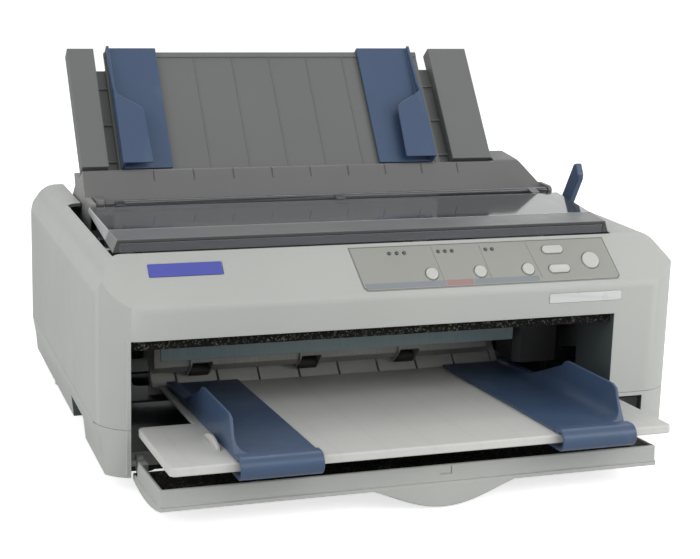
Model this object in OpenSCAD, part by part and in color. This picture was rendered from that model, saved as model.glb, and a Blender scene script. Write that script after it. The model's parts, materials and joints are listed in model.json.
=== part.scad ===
// Desktop dot matrix printer with its front cover down and its sheet guides fitted.
// X runs to the right seen from the front, Y runs to the back, Z runs up.
// Shapes are drawn with X = 0 at the middle of the body, Y = 0 at its front face and Z = 0 on the desk,
// and place() then moves the whole to the middle of its footprint.

/* [Body] */
// Width of the body
body_w = 414; // [400:1:430]
// Depth of the body from its front face to its rear wall
body_d = 324; // [320:1:330]
// Height of the flat top above the desk
top_z = 152; // [150:0.5:156]
// Height of the joint between the two case halves
seam_z = 42; // [41:0.5:44]
// Height of the underside of the lower case
base_z = 10; // [9:0.5:11]
// Thickness of the case walls
wall = 2.8; // [2:0.1:3.2]
// Corner radius of the body at the front
corner_front = 28; // [20:1:30]
// Corner radius of the body at the back
corner_rear = 20; // [12:1:24]
// Height where the front face turns into the sloping control face
slope_z = 121.5; // [119:0.5:123]
// Depth of the sloping control face, front to back
slope_d = 26; // [25:0.5:27]
// Rounding of the long edges of the upper case
soft_edge = 14; // [8:1:16]
// Rounding of the edge below the control face
slope_edge = 9; // [6:1:12]

/* [Mouth and paper path] */
// Width of the front to the left of the mouth
left_front_w = 20.1; // [19:0.1:22]
// Width of the front to the right of the mouth
right_front_w = 54.3; // [53:0.1:56]
// Height of the top edge of the mouth
mouth_z = 100.3; // [99:0.1:102]
// Depth of the side walls inside the mouth
mouth_wall_d = 53; // [45:1:55]
// Spacing of the ribs and slots across the paper path
rib_pitch = 30.6; // [30:0.1:31]

/* [Front sheet guide] */
// Gap between the front sheet guide and the left side of the mouth
tray_gap_l = 4.9; // [4:0.1:6]
// Gap between the front sheet guide and the right side of the mouth
tray_gap_r = 1.3; // [1:0.1:3]
// Reach of the front sheet guide in front of the body
tray_reach = 88.9; // [84:0.1:92]
// Height of the front edge of the sheet guide above the desk
tray_z = 48.05; // [47.5:0.05:48.5]
// Fall of the front sheet guide towards the back, in degrees
tray_fall = 3.4; // [3:0.1:4]
// Depth of the edge skirt of the front sheet guide
tray_skirt = 5.6; // [5:0.1:6]

/* [Front cover] */
// Length of the front cover from its hinge to its free edge
cover_len = 82.4; // [80:0.1:82.6]
// Angle of the open front cover above level, in degrees
cover_tilt = 4.6; // [3.5:0.1:5]
// Depth of the rim of the front cover
cover_rim = 13.7; // [12:0.1:14]
// Height of the finger grip below the front cover
grip_h = 13.6; // [10:0.1:13.8]

/* [Printer cover] */
// Height of the front edge of the printer cover above the flat top
lid_rise = 8.7; // [7:0.1:9.5]
// Depth of the dark bar along the front of the printer cover
lid_bar_d = 39; // [30:1:45]
// Radius of the rod at the rear edge of the printer cover
lid_rod_r = 2.6; // [2.2:0.1:3]

/* [Rear sheet guide] */
// Lean of the rear sheet guide above level, in degrees
rear_slope = 51.6; // [50:0.2:53]
// Length of the rails of the rear sheet guide
rail_len = 103.5; // [100:0.5:104]
// Depth of the rails of the rear sheet guide
rail_d = 12; // [10:0.5:13]
// Depth of the panel below the face of the rails
panel_sink = 6; // [5:0.2:7]

/* [Blue edge guides] */
// Width of a rear edge guide
rear_blue_w = 39; // [36:0.5:42]
// Width of a front edge guide
front_blue_w = 52; // [48:0.5:53]
// Height of the wall of a front edge guide
front_fin_h = 24.5; // [20:0.5:26]
// Radius of the roll at the front of a front edge guide
front_curl_r = 7.2; // [7:0.1:7.5]
// Thickness of the walls of the edge guides
fin_t = 2.2; // [1.8:0.1:2.6]

/* [Print mechanism] */
// Radius of the platen
platen_r = 15; // [14:0.1:15.2]
// Radius of the platen shaft
platen_shaft_r = 5; // [4.5:0.1:5.5]
// Tooth size of the feed gears, pitch diameter over number of teeth
gear_module = 1.2; // [1.2]
// Teeth of the platen gear
platen_teeth = 34; // [34]
// Teeth of the idler gear between the motor and the platen
idler_teeth = 20; // [20]
// Teeth of the pinion on the feed motor
pinion_teeth = 14; // [14]
// Teeth of the large idler between the platen and the tractors
tractor_idler_teeth = 58; // [58]
// Teeth of the gear on the tractor shaft
tractor_teeth = 24; // [24]
// Width of the feed gears
gear_w = 6; // [5:0.5:6]
// Radius of the carriage guide shaft
guide_shaft_r = 5; // [4.5:0.1:5.2]

/* [Fits] */
// Radial clearance of a shaft that turns or slides in a bore
run_gap = 0.06; // [0.04:0.01:0.08]
// Clearance between parts that slide past each other
slide_gap = 0.4; // [0.3:0.05:0.5]
// Extra distance between the axes of two gears in mesh
mesh_gap = 0.12; // [0.1:0.01:0.15]

/* [Hidden] */
$fn = 48;
eps = 0.02;

// Colours
c_case = [0.78, 0.78, 0.76];
c_pale = [0.84, 0.84, 0.81];
c_grey = [0.44, 0.45, 0.44];
c_hood = [0.46, 0.45, 0.45];
c_blue = [0.30, 0.39, 0.54];
c_black = [0.10, 0.10, 0.11];
c_steel = [0.62, 0.63, 0.64];
c_teal = [0.40, 0.48, 0.50];
c_smoke = [0.45, 0.46, 0.50];
c_gear = [0.90, 0.89, 0.84];
c_board = [0.20, 0.38, 0.24];

// Middle of the footprint
knob_out = 7;
curl_centre_s = -1;
curl_centre_n = -3.2;
front_reach = tray_reach + front_curl_r + 1.2;
shift_x = -knob_out / 2;
shift_y = -(body_d - front_reach) / 2;

// Body outline
half_w = body_w / 2;
right_crease_x = half_w - 19;
left_crease_x = half_w - 9;
side_z = top_z - 26;
rear_crease_y = body_d - 35;
slope_angle = atan((top_z - slope_z) / slope_d);
mouth_l = -half_w + left_front_w;
mouth_r = half_w - right_front_w;
path_x = (mouth_l + mouth_r) / 2;

// Top opening, tapered on the right
open_l = -half_w + 13.3;
open_r = half_w - 47.5;
open_rear_l = -half_w + 23;
open_rear_r = half_w - 57;
open_back_z = 105;

// Side frames
frame_t = 1.6;
left_frame_x = -half_w + 18;
right_frame_x = half_w - 50;
gear_plate_x = right_frame_x + 26;
gear_x = right_frame_x + 8;
inner_l = left_frame_x + frame_t;

// Base frame
base_front = 112;
base_rear = 216;
frame_bosses = [for (x = [left_frame_x + 19, -20, right_frame_x - 17], y = [base_front + 6,
    base_rear - 8]) [x, y]];

// Case screws and feet
screw_spots = [[-half_w + 11.5, 40], [half_w - 17, 62], [-half_w + 9.5, body_d - 112],
    [half_w - 11, body_d - 112]];
screw_pillar_r = 6;
foot_spots = [[-half_w + 37, 45], [half_w - 31, 45], [-half_w + 37, body_d - 32], [half_w - 37, body_d - 32]];

// Hand holds in the sides
hold_y = 110;
hold_w = 50;
hold_h = 16;
hold_depth = 15;

// Rocker pocket at the right of the mouth
switch_c = [half_w - 37.7, 31];
switch_w = 20;
switch_h = 16;

// Circuit boards and sockets
board_front = base_rear + 6;
board_z = 18;
board_t = 1.6;
board_top = board_z + board_t;
cooler_pitch = 9;
board_l = -10;
board_r = half_w - 57;
supply_l = -half_w + 27;
supply_r = supply_l + 120;
inlet_x = supply_l + 29;
wide_socket_x = board_r - 55;
square_socket_x = board_l + 36;

// Gear train
platen_y = 158;
platen_z = 104;
train_angle = -2.2;
idler_centre = [platen_y, platen_z - gear_module * (platen_teeth + idler_teeth) / 2 - mesh_gap];
pinion_centre = [platen_y, idler_centre[1] - gear_module * (idler_teeth + pinion_teeth) / 2 - mesh_gap];
tractor_idler_reach = gear_module * (platen_teeth + tractor_idler_teeth) / 2 + mesh_gap;
tractor_idler_centre = [platen_y + tractor_idler_reach * cos(train_angle),
    platen_z + tractor_idler_reach * sin(train_angle)];
tractor_reach = tractor_idler_reach + gear_module * (tractor_idler_teeth + tractor_teeth) / 2 + mesh_gap;
tractor_centre = [platen_y + tractor_reach * cos(train_angle), platen_z + tractor_reach * sin(train_angle)];
tractor_pair = [tractor_centre[0] + 26, tractor_centre[1] - 4];
tractor_w = 22;
tractor_left_x = left_frame_x + 49;
tractor_right_x = right_frame_x - 51;
square_shaft = 6;
platen_turn = 90;
idler_turn = mesh_turn(platen_turn, platen_teeth, idler_teeth, -90);
pinion_turn = mesh_turn(idler_turn, idler_teeth, pinion_teeth, -90);
tractor_idler_turn = mesh_turn(platen_turn, platen_teeth, tractor_idler_teeth, train_angle);
tractor_turn = mesh_turn(tractor_idler_turn, tractor_idler_teeth, tractor_teeth, train_angle);

ribbon_knob_c = [left_frame_x + 17, 64];

// Pinch rollers
guide_l = mouth_l + 36.9;
guide_r = mouth_r - 48.7;
roller_x = [guide_l + 34, guide_l + 115, guide_l + 191];
roller_axis = [114, 45];

// Carriage
guide_y = 110;
guide_z = 92;
beam_z = 79;
belt_y = 84;
belt_z = 84;
belt_w = 5;
pulley_r = 6;
pulley_left_x = left_frame_x + 24;
pulley_right_x = right_frame_x - 29;
carriage_x = left_frame_x + 69;
carriage_w = 48;
head_z = guide_z + 9;

// Printer cover
lid_front_y = slope_d + 0.8;
lid_rear_y = 166;
lid_axis = [178.5, top_z + 3.2];
lid_bottom = top_z + 0.3;
lid_t = 2;
lid_rod_l = -half_w + 36.4;
lid_rod_end = half_w - 23.4;
lid_arms = [open_l + 29.7, path_x + 21.1, half_w - 41];

// Hood
hood_l = -half_w + 28.4;
hood_block_x = half_w - 59;
hood_end_x = half_w - 17.8;

// Rear sheet guide
rear_foot = [205.3112, top_z + 26.2877];
rear_top = rear_foot + rail_len * [cos(rear_slope), sin(rear_slope)];
rear_pivot = [232, top_z + 11];
rail_l = -half_w + 24.3;
rail_lw = 20.2;
rail_r = half_w - 94;
rail_rw = 33.2;
hook_len = 12;
panel_l = rail_l + rail_lw + 8.5;
panel_r = rail_r - 9;

// Front sheet guide
tray_l = mouth_l + tray_gap_l;
tray_r = mouth_r - tray_gap_r;
tray_x = (tray_l + tray_r) / 2;
tongue_t = 2.4;

// Front cover
cover_axis = [9.3, 17.5];
cover_pin_r = 2.5;
cover_side_gap = 2;
cover_l = mouth_l + cover_side_gap;
cover_r = mouth_r - cover_side_gap;

// Lever
lever_axis = [190, 97];
lever_lean = 31.5;
lever_x = half_w - 17.5;
lever_t = 5;

// Control panel: distance across and up the slope from its own zero, size
panel_from_right = 207;
small_buttons = [[18.3, 14.8], [53.6, 14.8], [89.2, 14.8]];
small_button_r = 4.4;
long_buttons = [[110.9, 29], [112.5, 13.9]];
long_button_w = 15.5;
long_button_h = 6;
round_button = [137.8, 19.4];
round_button_r = 6.3;
lamps = [[-8.8, 31.5], [-3.4, 31.5], [1.9, 31.5], [26.5, 31.5], [31.5, 31.5], [36.5, 31.5],
    [61.3, 31.5], [66.2, 31.5]];
lamp_r = 1.2;
button_proud = 1.4;
button_collar = wall + 0.1;
button_stem = 6.6;
board_n = -10.6;
panel_t = 0.8;

// Moves the body-centred drawing to the middle of its footprint
module place() {
    translate([shift_x, shift_y, 0]) children();
}

// Extrudes a Y-Z outline along X
module along_x(x0, x1) {
    translate([x0, 0, 0]) rotate([90, 0, 90]) linear_extrude(x1 - x0) children();
}

// Extrudes an X-Z outline along Y
module along_y(y0, y1) {
    translate([0, y1, 0]) rotate([90, 0, 0]) linear_extrude(y1 - y0) children();
}

// Round bar along X
module rod_x(x0, x1, y, z, r) {
    translate([x0, y, z]) rotate([0, 90, 0]) cylinder(h = x1 - x0, r = r);
}

// Round bar along Y
module rod_y(y0, y1, x, z, r) {
    translate([x, y1, z]) rotate([90, 0, 0]) cylinder(h = y1 - y0, r = r);
}

// Box given by its two corners
module block(a, b) {
    translate(a) cube(b - a);
}

// Rectangle with rounded corners, given by its two corners
module soft_rect(a, b, r) {
    translate([a[0] + r, a[1]]) square([b[0] - a[0] - 2 * r, b[1] - a[1]]);
    translate([a[0], a[1] + r]) square([b[0] - a[0], b[1] - a[1] - 2 * r]);
    for (x = [a[0] + r, b[0] - r])
        for (y = [a[1] + r, b[1] - r])
            translate([x, y]) circle(r);
}

// Frames of the tilted parts: X, distance along the face, height off the face
module on_rear_guide() {
    translate([0, rear_top[0], rear_top[1]]) rotate([rear_slope, 0, 0]) children();
}

module on_tray() {
    translate([0, -tray_reach, tray_z]) rotate([-tray_fall, 0, 0]) children();
}

module on_slope() {
    translate([0, 0, slope_z]) rotate([slope_angle, 0, 0]) children();
}

// Frame of the control panel, held at its distance from the right side of the body
module on_panel() {
    translate([half_w - panel_from_right, 0, 0]) on_slope() children();
}

// Frame of the open front cover: Y runs from the hinge back, Z off its inner face
module on_cover() {
    translate([0, cover_axis[0], cover_axis[1]]) rotate([-cover_tilt, 0, 0]) children();
}

// Plan of the case, drawn smaller by t all round
module case_plan(t) {
    rf = corner_front - t;
    rr = corner_rear - t;
    translate([-half_w + t, corner_front]) square([body_w - 2 * t, body_d - corner_front - corner_rear]);
    translate([-half_w + corner_front, t]) square([body_w - 2 * corner_front, body_d / 2]);
    translate([-half_w + corner_rear, body_d / 2]) square([body_w - 2 * corner_rear, body_d / 2 - t]);
    for (side = [-1, 1]) {
        translate([side * (half_w - corner_front), corner_front]) circle(rf);
        translate([side * (half_w - corner_rear), body_d - corner_rear]) circle(rr);
    }
}

// Points of the outline with each corner rounded to its own radius
function rounded(points, radii) = [for (i = [0 : len(points) - 1])
    each corner(points[(i + len(points) - 1) % len(points)], points[i], points[(i + 1) % len(points)],
    radii[i])];

// Points round one corner from a towards b, turning at p with radius r
function corner(a, p, b, r) = r == 0 ? [p] :
    let (u = (a - p) / norm(a - p), v = (b - p) / norm(b - p), half = acos(u * v) / 2, reach = r / tan(half),
        mid = (u + v) / norm(u + v), centre = p + mid * r / sin(half), from = p + u * reach - centre,
        to = p + v * reach - centre, steps = 5, sweep = acos(from * to / (r * r)),
        side = from[0] * to[1] - from[1] * to[0] > 0 ? 1 : -1)
    [for (i = [0 : steps]) let (t = side * sweep * i / steps)
        centre + [from[0] * cos(t) - from[1] * sin(t), from[0] * sin(t) + from[1] * cos(t)]];

// Front view of the upper case, drawn smaller by t
module upper_front(t) {
    polygon(rounded([[-half_w + t, seam_z - t], [half_w - t, seam_z - t], [half_w - t, side_z - 0.4 * t],
        [right_crease_x - 0.5 * t, top_z - t], [-left_crease_x + 0.7 * t, top_z - t],
        [-half_w + t, side_z - 0.2 * t]],
        [0, 0, soft_edge - t, soft_edge - t, soft_edge - t, soft_edge - t]));
}

// Side view of the upper case, drawn smaller by t
module upper_side(t) {
    polygon(rounded([[t, seam_z - t], [t, slope_z - 0.4 * t], [slope_d + 0.45 * t, top_z - t],
        [rear_crease_y - 0.4 * t, top_z - t], [body_d - t, side_z - 0.4 * t], [body_d - t, seam_z - t]],
        [0, slope_edge - t, 0, soft_edge - t, soft_edge - t, 0]));
}

module upper_block(t) {
    intersection() {
        translate([0, 0, seam_z - t]) linear_extrude(top_z) case_plan(t);
        along_y(-1, body_d + 1) upper_front(t);
        along_x(-half_w - 1, half_w + 1) upper_side(t);
    }
}

// Front view of the lower case, drawn smaller by t
module lower_front(t) {
    polygon([[-half_w + t, seam_z + t], [half_w - t, seam_z + t], [half_w - t, seam_z],
        [half_w - 3.6 - t, seam_z - 18],
        [half_w - 5 - t, base_z + t], [-half_w + 5 + t, base_z + t], [-half_w + 3.6 + t, seam_z - 18],
        [-half_w + t, seam_z]]);
}

module lower_block(t) {
    intersection() {
        translate([0, 0, base_z + t]) linear_extrude(seam_z - base_z) case_plan(t);
        along_y(-1, body_d + 1) lower_front(t);
    }
}

module lower_case() {
    rest_z = tray_z - tray_skirt;
    color(c_case) place() difference() {
        union() {
            difference() {
                lower_block(0);
                difference() {
                    lower_block(wall);
                    // Bosses for the base frame and the boards
                    for (p = frame_bosses)
                        translate([p[0], p[1], 0]) cylinder(h = 24, r = 5);
                    for (x = [supply_l + 6, supply_r - 6, board_l + 6, board_r - 6],
                        y = [board_front + 6, body_d - 24])
                            translate([x, y, 0]) cylinder(h = 18, r = 3.5);
                }
                // Mouth and the room for the front cover
                block([mouth_l, -1, base_z - 1], [mouth_r, 22, seam_z + 1]);
            }
            // Walls beside the mouth that carry the cover pins
            block([mouth_l - wall, 1.5, base_z + 2], [mouth_l, 60, seam_z]);
            block([mouth_r, 1.5, base_z + 2], [mouth_r + wall, 60, seam_z]);
            // Rail behind the open cover
            block([mouth_l, 22, base_z], [mouth_r, 24.4, 20]);
            // Walls round the hand holds
            for (side = [-1, 1])
                intersection() {
                    lower_block(0);
                    translate([side * half_w, hold_y, base_z])
                        cube([2 * (hold_depth + 2), hold_w + 4, 2 * (hold_h + 2)], center = true);
                }
            // Ribs that carry the front sheet guide
            for (x = [mouth_l + 58.9, path_x - 42.9, path_x + 27.1, mouth_r - 52.7])
                along_x(x, x + 2.4)
                    polygon([[26, base_z + 1], [104, base_z + 1], [104, tray_under(104)],
                        [26, tray_under(26)]]);
            // Pocket of the power switch
            translate([switch_c[0], 6, switch_c[1]]) cube([switch_w + 3, 11, switch_h + 3], center = true);
            // Pillars for the case screws
            for (p = screw_spots)
                translate([p[0], p[1], base_z + 1]) cylinder(h = seam_z - base_z - 1, r = screw_pillar_r);
        }
        // Hand holds under both sides
        for (side = [-1, 1])
            translate([side * half_w, hold_y, base_z])
                cube([2 * hold_depth, hold_w, 2 * hold_h], center = true);
        // Opening of the power switch
        translate([switch_c[0], 3, switch_c[1]]) cube([switch_w, 14, switch_h], center = true);
        translate([switch_c[0], 5.5, base_z + 5]) cylinder(h = 30, r = 1.2 + run_gap);
        // Holes for the cover pins
        rod_x(mouth_l - 4, mouth_l + 1, cover_axis[0], cover_axis[1], cover_pin_r);
        rod_x(mouth_r - 1, mouth_r + 4, cover_axis[0], cover_axis[1], cover_pin_r);
        // Openings for the sockets at the back
        block([inlet_x - 14.4, body_d - 4, 19.4], [inlet_x + 14.4, body_d + 1, 40.4]);
        block([wide_socket_x - 35.6, body_d - 4, 19.4], [wide_socket_x + 35.6, body_d + 1, 33.8]);
        block([square_socket_x - 6.6, body_d - 4, 19.4], [square_socket_x + 6.6, body_d + 1, 31.4]);
        // Air slots in the floor
        for (i = [0 : 8])
            block([supply_l + 20 + i * 11, body_d - 88, base_z - 1],
                [supply_l + 25 + i * 11, body_d - 34, base_z + wall + 0.5]);
        // Screw holes
        for (p = screw_spots) {
            translate([p[0], p[1], base_z - 1]) cylinder(h = 60, r = 1.6);
            translate([p[0], p[1], base_z - 1]) cylinder(h = 4, r = 3.4);
        }
        // Seats of the feet
        for (p = foot_spots)
            translate([p[0], p[1], base_z - 1]) cylinder(h = 1.8, r = 9);
    }
}

// Height of the top of the front sheet guide at a given Y
function tray_top(y) = tray_z - (y + tray_reach) * tan(tray_fall);

// Height of the underside of its tongue at a given Y
function tray_under(y) = tray_top(y) - tongue_t / cos(tray_fall);

module upper_case() {
    color(c_case) place() difference() {
        union() {
            difference() {
                upper_block(0);
                upper_block(wall);
            }
            // Walls inside the mouth
            block([mouth_l - wall, 1.5, seam_z], [mouth_l, mouth_wall_d, mouth_z + wall]);
            block([mouth_r, 1.5, seam_z], [mouth_r + wall, mouth_wall_d, mouth_z + wall]);
            block([mouth_l - wall, 1.5, mouth_z], [mouth_r + wall, 22, mouth_z + wall]);
            // Pillars for the case screws
            intersection() {
                upper_block(0.5);
                for (p = screw_spots)
                    translate([p[0], p[1], seam_z]) cylinder(h = top_z, r = screw_pillar_r);
            }
            // Stiffening ribs under the top at the right
            for (y = [60, 100])
                block([mouth_r + 20, y, 110], [half_w - 1.5, y + 1.8, 120]);
        }
        // Mouth
        block([mouth_l, -1, seam_z - 5], [mouth_r, 5, mouth_z]);
        // Opening under the printer cover and the hood
        translate([0, 0, 130]) linear_extrude(40)
            polygon([[open_l, slope_d], [open_r, slope_d], [open_r + 23, slope_d + 107], [open_r + 23, 188],
                [open_rear_r, 188], [open_rear_r, body_d + 1], [open_rear_l, body_d + 1],
                [open_rear_l, 203], [open_l, 203]]);
        block([open_rear_l, rear_crease_y - 20, open_back_z], [open_rear_r, body_d + 1, 140]);
        // Slot of the release lever
        block([lever_x - 1, 142, 120], [lever_x + lever_t + 1, 206, top_z + 1]);
        // Hole for the knob
        rod_x(half_w - 6, half_w + 1, platen_y, platen_z, 8.6);
        // Slots and holes in the control face
        on_panel() {
            for (p = small_buttons)
                translate([p[0], p[1], -6]) cylinder(h = 8, r = small_button_r + slide_gap);
            translate([round_button[0], round_button[1], -6]) cylinder(h = 8, r = round_button_r + slide_gap);
            for (p = long_buttons)
                translate([p[0], p[1], -6]) linear_extrude(8) long_button_outline(slide_gap);
            for (p = lamps)
                translate([p[0], p[1], -6]) cylinder(h = 8, r = lamp_r + 0.1);
            // Sunk seat of the control panel
            translate([0, 0, -0.5]) linear_extrude(4) panel_outline();
        }
        // Sunk seat of the blue plate
        on_slope()
            block([-half_w + 34.5, 22, -0.5], [-half_w + 83.1, 31.6, 2]);
        // Sunk seat of the pale plate
        block([half_w - 105, -1, slope_z - 11.4], [half_w - 49.6, 0.4, slope_z - 4.4]);
        // Screw holes
        for (p = screw_spots)
            translate([p[0], p[1], seam_z - 1]) cylinder(h = 16, r = 1.4);
        // Air slots in the rear wall
        for (i = [0 : 9])
            block([-half_w + 57 + i * 8, body_d - 4, 62], [-half_w + 60.5 + i * 8, body_d + 1, 90]);
    }
}

module rubber_feet() {
    color(c_black) place() for (p = foot_spots)
        translate([p[0], p[1], 0]) {
            cylinder(h = 1.2, r1 = 8, r2 = 8.8);
            translate([0, 0, 1.2]) cylinder(h = base_z - 0.4, r = 8.8);
        }
}

module screws() {
    color(c_steel) place() {
        for (p = screw_spots)
            translate([p[0], p[1], base_z + 3]) {
                translate([0, 0, -2.2]) difference() {
                    cylinder(h = 2.2, r = 3);
                    for (a = [0, 90])
                        rotate(a) translate([0, 0, 0.4]) cube([4, 0.8, 1.2], center = true);
                }
                cylinder(h = 44, r = 1.4);
            }
        for (p = frame_bosses)
            translate([p[0], p[1], 25.6]) difference() {
                cylinder(h = 2.2, r = 3.2);
                for (a = [0, 90])
                    rotate(a) translate([0, 0, 2]) cube([4, 0.8, 1.2], center = true);
            }
    }
}

// Outline of the control panel on the sloping face
module panel_outline() {
    polygon([[-37, 37.2], [-31.8, 6.5], [-29.3, 4], [155.2, 4], [157.4, 6.5], [151.8, 37.2]]);
}

module control_panel() {
    color(c_pale) place() on_panel() difference() {
        translate([0, 0, -0.5]) linear_extrude(panel_t) panel_outline();
        for (p = small_buttons)
            translate([p[0], p[1], -2]) cylinder(h = 4, r = small_button_r + slide_gap);
        translate([round_button[0], round_button[1], -2]) cylinder(h = 4, r = round_button_r + slide_gap);
        for (p = long_buttons)
            translate([p[0], p[1], -2]) linear_extrude(4) long_button_outline(slide_gap);
        for (p = lamps)
            translate([p[0], p[1], -2]) cylinder(h = 4, r = lamp_r + 0.1);
        // Fine grooves between the fields
        for (g = [[21.5, 26], [56.6, 60.6], [91.4, 98]])
            linear_extrude(1) polygon([[g[0], 35.5], [g[0] + 0.5, 35.5], [g[1] + 0.5, 8], [g[1], 8]]);
    }
}

module panel_board() {
    color(c_board) place() on_panel() {
        block([-30, 2, board_n - 1.6], [152, 38, board_n]);
        for (p = lamps)
            translate([p[0], p[1], board_n - eps]) cylinder(h = 0.5 - board_n, r = lamp_r);
        for (p = concat(small_buttons, long_buttons, [round_button]))
            translate([p[0], p[1], board_n - eps]) cylinder(h = 2.4, r = 2.5);
        // Legs that hold the board under the control face
        for (x = [-24, 72, 148])
            translate([x, 7, board_n - eps]) cylinder(h = -board_n - 1.02 * wall + eps, r = 2);
    }
}

// Round button with a collar that stops it under the control face
module button(p, r) {
    color(c_pale) place() on_panel() translate([p[0], p[1], 0]) {
        translate([0, 0, -button_collar]) cylinder(h = button_collar + button_proud - 0.4, r = r);
        translate([0, 0, button_proud - 0.4]) cylinder(h = 0.4, r1 = r, r2 = r - 0.4);
        translate([0, 0, -button_collar - 1.4]) cylinder(h = 1.4, r = r + 1.2);
        translate([0, 0, -button_stem]) cylinder(h = 3, r = 2);
    }
}

// Outline of a long button with round ends, drawn larger by t
module long_button_outline(t) {
    reach = [long_button_w / 2 + t, long_button_h / 2 + t];
    soft_rect(-reach, reach, reach[1] - 0.1);
}

// Long button with a collar that stops it under the control face
module long_button(p) {
    color(c_pale) place() on_panel() translate([p[0], p[1], 0]) {
        translate([0, 0, -button_collar]) linear_extrude(button_collar + button_proud) long_button_outline(0);
        translate([0, 0, -button_collar - 1.4]) linear_extrude(1.4)
            soft_rect([-long_button_w / 2 - 1.2, -long_button_h / 2 - 1.2],
                [long_button_w / 2 + 1.2, long_button_h / 2 + 1.2], long_button_h / 2);
        translate([0, 0, -button_stem]) cylinder(h = 3, r = 2);
    }
}

module power_switch() {
    // Rocker with a shallow valley, turning on an upright pin
    color(c_black) place() translate([switch_c[0], 5.5, switch_c[1]]) {
        translate([0, 0, -6.5]) linear_extrude(13)
            polygon([[-8.6, -4.2], [-4, -3], [0, -2.2], [4, -2.6], [8.8, -2.8], [8.4, 1.2], [3, 3.2],
                [-3, 3.2], [-8, 0.6]]);
        translate([0, 0, -8.6]) cylinder(h = 17.2, r = 1.2);
    }
}

module front_sheet_guide() {
    back = 94.4;
    tongue = 196;
    l = tray_l;
    r = tray_r;
    ribs = floor((r - l - 6) / 2 / rib_pitch);
    color(c_pale) place() {
        on_tray() difference() {
            union() {
                translate([0, 0, -tray_skirt]) linear_extrude(tray_skirt) soft_rect([l, 0], [r, back], 4);
                block([l + 36, back - 10, -tongue_t], [r - 25.4, tongue, 0]);
            }
            // Hollow underside
            translate([0, 0, -tray_skirt - 1]) linear_extrude(tray_skirt + 1 - 2.2)
                soft_rect([l + 2.2, 3], [r - 2.2, back - 2.4], 2);
        }
        // Ribs under the plate
        on_tray() for (i = [-ribs : ribs])
            block([tray_x + i * rib_pitch - 0.8, 2, -tray_skirt + 0.8],
                [tray_x + i * rib_pitch + 0.8, back - 1, -2]);
        // Stop for the left edge guide
        on_tray() intersection() {
            block([l + 35.4, 20, -1], [l + 38.2, 70, 6]);
            rod_x(l + 32, l + 42, 46, -34, 39);
        }
    }
}

module mouth_foam() {
    color(c_black) place() block([mouth_l + 1, 5, mouth_z - 7], [mouth_r - 1, 17, mouth_z]);
}

// Side view of the hood's slanted front plate
module hood_plate() {
    polygon([[190, top_z + 3.5], [202.6, top_z + 22.8], [204.6, top_z + 23.6], [205, top_z + 21.4],
        [194, top_z + 4.6], [194, top_z + 0.6], [191, top_z + 0.6]]);
}

// Side view of the block at the right end of the hood
module hood_block() {
    polygon([[190, top_z], [190, top_z + 3.5], [202.6, top_z + 22.8], [206, top_z + 24.6],
        [228, top_z + 28], [236, top_z + 24], [240, top_z]]);
}

module separator_hood() {
    color(c_hood) place() difference() {
        union() {
            along_x(hood_l, hood_block_x + 12) hood_plate();
            // Left cheek, standing on the left frame
            along_x(hood_l - 4.4, hood_l + 0.1)
                polygon([[190, top_z + 3.5], [202.6, top_z + 22.8], [204.6, top_z + 23.4],
                    [213, top_z + 16.4], [240, top_z + 16.4],
                    [236, top_z + 8], [259, top_z - 10], [259, top_z - 26], [206, top_z - 26],
                    [204, top_z - 12]]);
            // Right block with its sloping end
            difference() {
                along_x(hood_block_x, half_w - 17) hood_block();
                along_x(hood_block_x + 2.4, half_w - 7)
                    polygon([[193.6, top_z - 1], [193.6, top_z + 4], [204.4, top_z + 20.4],
                        [226, top_z + 25], [233, top_z + 22], [237, top_z - 1]]);
                hood_end(0);
            }
            difference() {
                intersection() {
                    along_x(hood_block_x, half_w - 7) hood_block();
                    hood_end(-2.4);
                }
                hood_end(0);
            }
            // Ears that hold the ends of the cover rod
            for (x = [[hood_l + 1.6, hood_l + 7.4], [lid_rod_end + 0.6, lid_rod_end + 3.8]])
                along_x(x[0], x[1]) {
                    translate(lid_axis) circle(3.1);
                    polygon([[lid_axis[0], lid_axis[1] - 2.4], [196, top_z + 0.6], [196, top_z + 7],
                        [lid_axis[0], lid_axis[1] + 3.6]]);
                }
            // Stub pins of the rear sheet guide
            rod_x(hood_l, hood_l + 6.2, rear_pivot[0], rear_pivot[1], 3);
            rod_x(hood_block_x - 6.4, hood_block_x + 0.2, rear_pivot[0], rear_pivot[1], 3);
        }
        rod_x(hood_l + 1.2, hood_l + 7.6, lid_axis[0], lid_axis[1], 1.8 + run_gap);
        rod_x(lid_rod_end + 0.4, lid_rod_end + 4.4, lid_axis[0], lid_axis[1], 1.8 + run_gap);
        // Notches along the top edge
        for (i = [0 : 8])
            translate([path_x - 112.9 + i * rib_pitch, 202.6, top_z + 22.8]) rotate([56, 0, 0])
                translate([-0.5, -8, -0.8]) cube([1, 14, 4]);
    }
}

// Everything to the right of the sloping end of the hood, moved by d
module hood_end(d) {
    translate([hood_end_x + d, 0, top_z]) rotate([0, -40, 0]) translate([0, 150, -60]) cube([80, 120, 160]);
    translate([hood_end_x - 18.8 + d, 0, top_z + 28.6]) rotate([0, -66, 0])
        translate([0, 150, -60]) cube([80, 120, 160]);
}

module base_frame() {
    color(c_steel) place() difference() {
        union() {
            block([inner_l, base_front, 24], [right_frame_x, base_rear, 25.6]);
            block([inner_l, base_front, 25.6], [inner_l + frame_t, base_rear, 34]);
            block([right_frame_x - frame_t, base_front, 25.6], [right_frame_x, base_rear, 34]);
        }
        for (x = [left_frame_x + 49, left_frame_x + 109, right_frame_x - 117, right_frame_x - 57])
            translate([x, (base_front + base_rear) / 2, 20]) linear_extrude(10) soft_rect([-16, -18],
                [16, 18], 5);
        // Room for the flange of the feed motor
        block([right_frame_x - 3, pinion_centre[0] - 24, 26], [right_frame_x + 1, pinion_centre[0] + 24, 40]);
    }
}

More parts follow.
